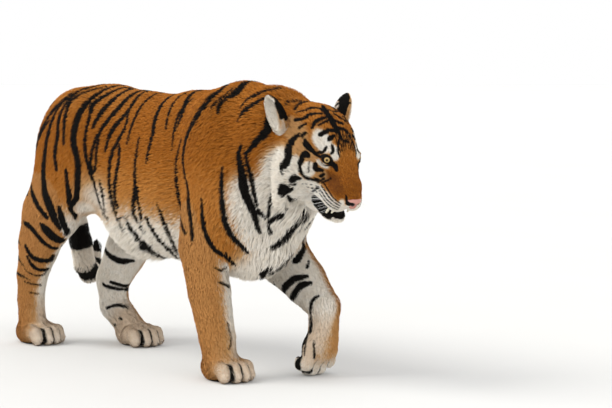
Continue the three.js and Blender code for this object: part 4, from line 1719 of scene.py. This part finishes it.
def make_teeth(material):
    """The four canines: the lower ones stand up, the upper ones hang down."""
    teeth = []
    for s in (1, -1):
        for x, y, z, tall in ((-68, 32, -110, 27), (-46, 33, -72, -22)):
            line, t = bent([x, s * y, z], [4, 0, tall], [-5, 0, 0], 8)
            teeth.append(tube(head_to_world(line), 6 * np.sqrt(1.02 - t), 10))
    made = mesh_object("canines", *joined(teeth), material)
    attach(made, "root")


def make_claws(material):
    claws = []
    for origin, pitch, yaw in PAWS.values():
        for k in TOES:
            line, t = bent([toe_reach(k) - 6, k * PAW_WIDTH * 0.242, 27], [13, 0, -9], [0, 0, -6], 7)
            line = np.array(origin, float) + line @ turned(pitch, yaw).T
            claws.append(tube(line, 3.2 * np.sqrt(1.03 - t), 8))
    made = mesh_object("claws", *joined(claws), material)
    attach(made, "root")


# ---------------------------------------------------------------- the tiger


def make_tiger():
    skin = Skin(*grown_skin())
    coat = Coat(skin)
    hide = mesh_object("skin", skin.points, skin.tris, coat_material("hide", True))
    even = np.zeros(len(skin.points))
    painted(hide, coat.colours(skin.points, skin.normals, skin.part, SKIN_REACH, even))
    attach(hide, "root")
    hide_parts(*[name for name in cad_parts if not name.startswith("eye")])
    make_coat(skin, coat, coat_material("coat", False))
    eye = eye_material()
    for s in (1, -1):
        make_eye(s, eye)
    make_nose()
    make_teeth(horn_material("tooth", (0.72, 0.64, 0.45, 1), (0.80, 0.75, 0.62, 1), 0.3))
    make_claws(horn_material("claw", (0.10, 0.08, 0.07, 1), (0.30, 0.26, 0.22, 1), 0.35))
    make_whiskers(horn_material("whisker", (0.85, 0.83, 0.80, 1), (0.9, 0.9, 0.88, 1), 0.4))


make_tiger()

# ---------------------------------------------------------------- the studio

# In metres, in the row's frame. The camera stands where the photo's did.
CAMERA_AT, CAMERA_TO = (5.8386, -4.6844, 1.1866), (0.6541, -0.0162, 0.613)
LENS, SENSOR = 121.8, 36.0  # mm
FLOOR_RADIUS, FLOOR_SIDES = 40_000, 96  # mm, and the disc's corners


def looking(thing, place, target):
    thing.location = place
    thing.rotation_euler = (Vector(target) - Vector(place)).to_track_quat("-Z", "Y").to_euler()
    bpy.context.scene.collection.objects.link(thing)


def soft_sun(name, place, strength, angle, colour):
    light = bpy.data.lights.new(name, "SUN")
    light.energy, light.angle, light.color = strength, math.radians(angle), colour
    looking(bpy.data.objects.new(name, light), place, (0, 0, 0.5))


def make_floor():
    n = Nodes("floor")
    grain = n.mix(n.noise(1.3, 2), (0.63, 0.63, 0.62, 1), (0.66, 0.66, 0.65, 1))
    n.shade(Base_Color=grain, Roughness=0.9)
    turn = np.arange(FLOOR_SIDES) * 2 * math.pi / FLOOR_SIDES
    ring = FLOOR_RADIUS * np.stack([np.cos(turn), np.sin(turn), 0 * turn], axis=1)
    floor = mesh_object("floor", ring - SHIFT / MM, np.arange(FLOOR_SIDES)[None], n.material)
    floor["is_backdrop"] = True


def make_light():
    """A white sky all round, a soft sun high over the right of the rump, and a softer one in front."""
    world = bpy.data.worlds.new("studio")
    world.use_nodes = True
    sky = world.node_tree.nodes["Background"].inputs
    sky[0].default_value, sky[1].default_value = (1.0, 1.0, 1.0, 1), 1.0
    bpy.context.scene.world = world
    soft_sun("key", (-3.2, -3.6, 5.4), 2.0, 35, (1.0, 0.98, 0.94))
    soft_sun("fill", (5.0, -1.5, 3.0), 0.9, 80, (0.97, 0.98, 1.0))


def make_camera():
    camera = bpy.data.cameras.new("camera")
    camera.lens, camera.sensor_width = LENS, SENSOR
    made = bpy.data.objects.new("camera", camera)
    looking(made, CAMERA_AT, CAMERA_TO)
    bpy.context.scene.camera = made
    bpy.context.scene.view_settings.view_transform = "Standard"


make_floor()
make_light()
make_camera()

sizes = {"cad": CAD_BOX, "visual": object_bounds()}
{name: [list(map(float, corner)) for corner in box] for name, box in sizes.items()}
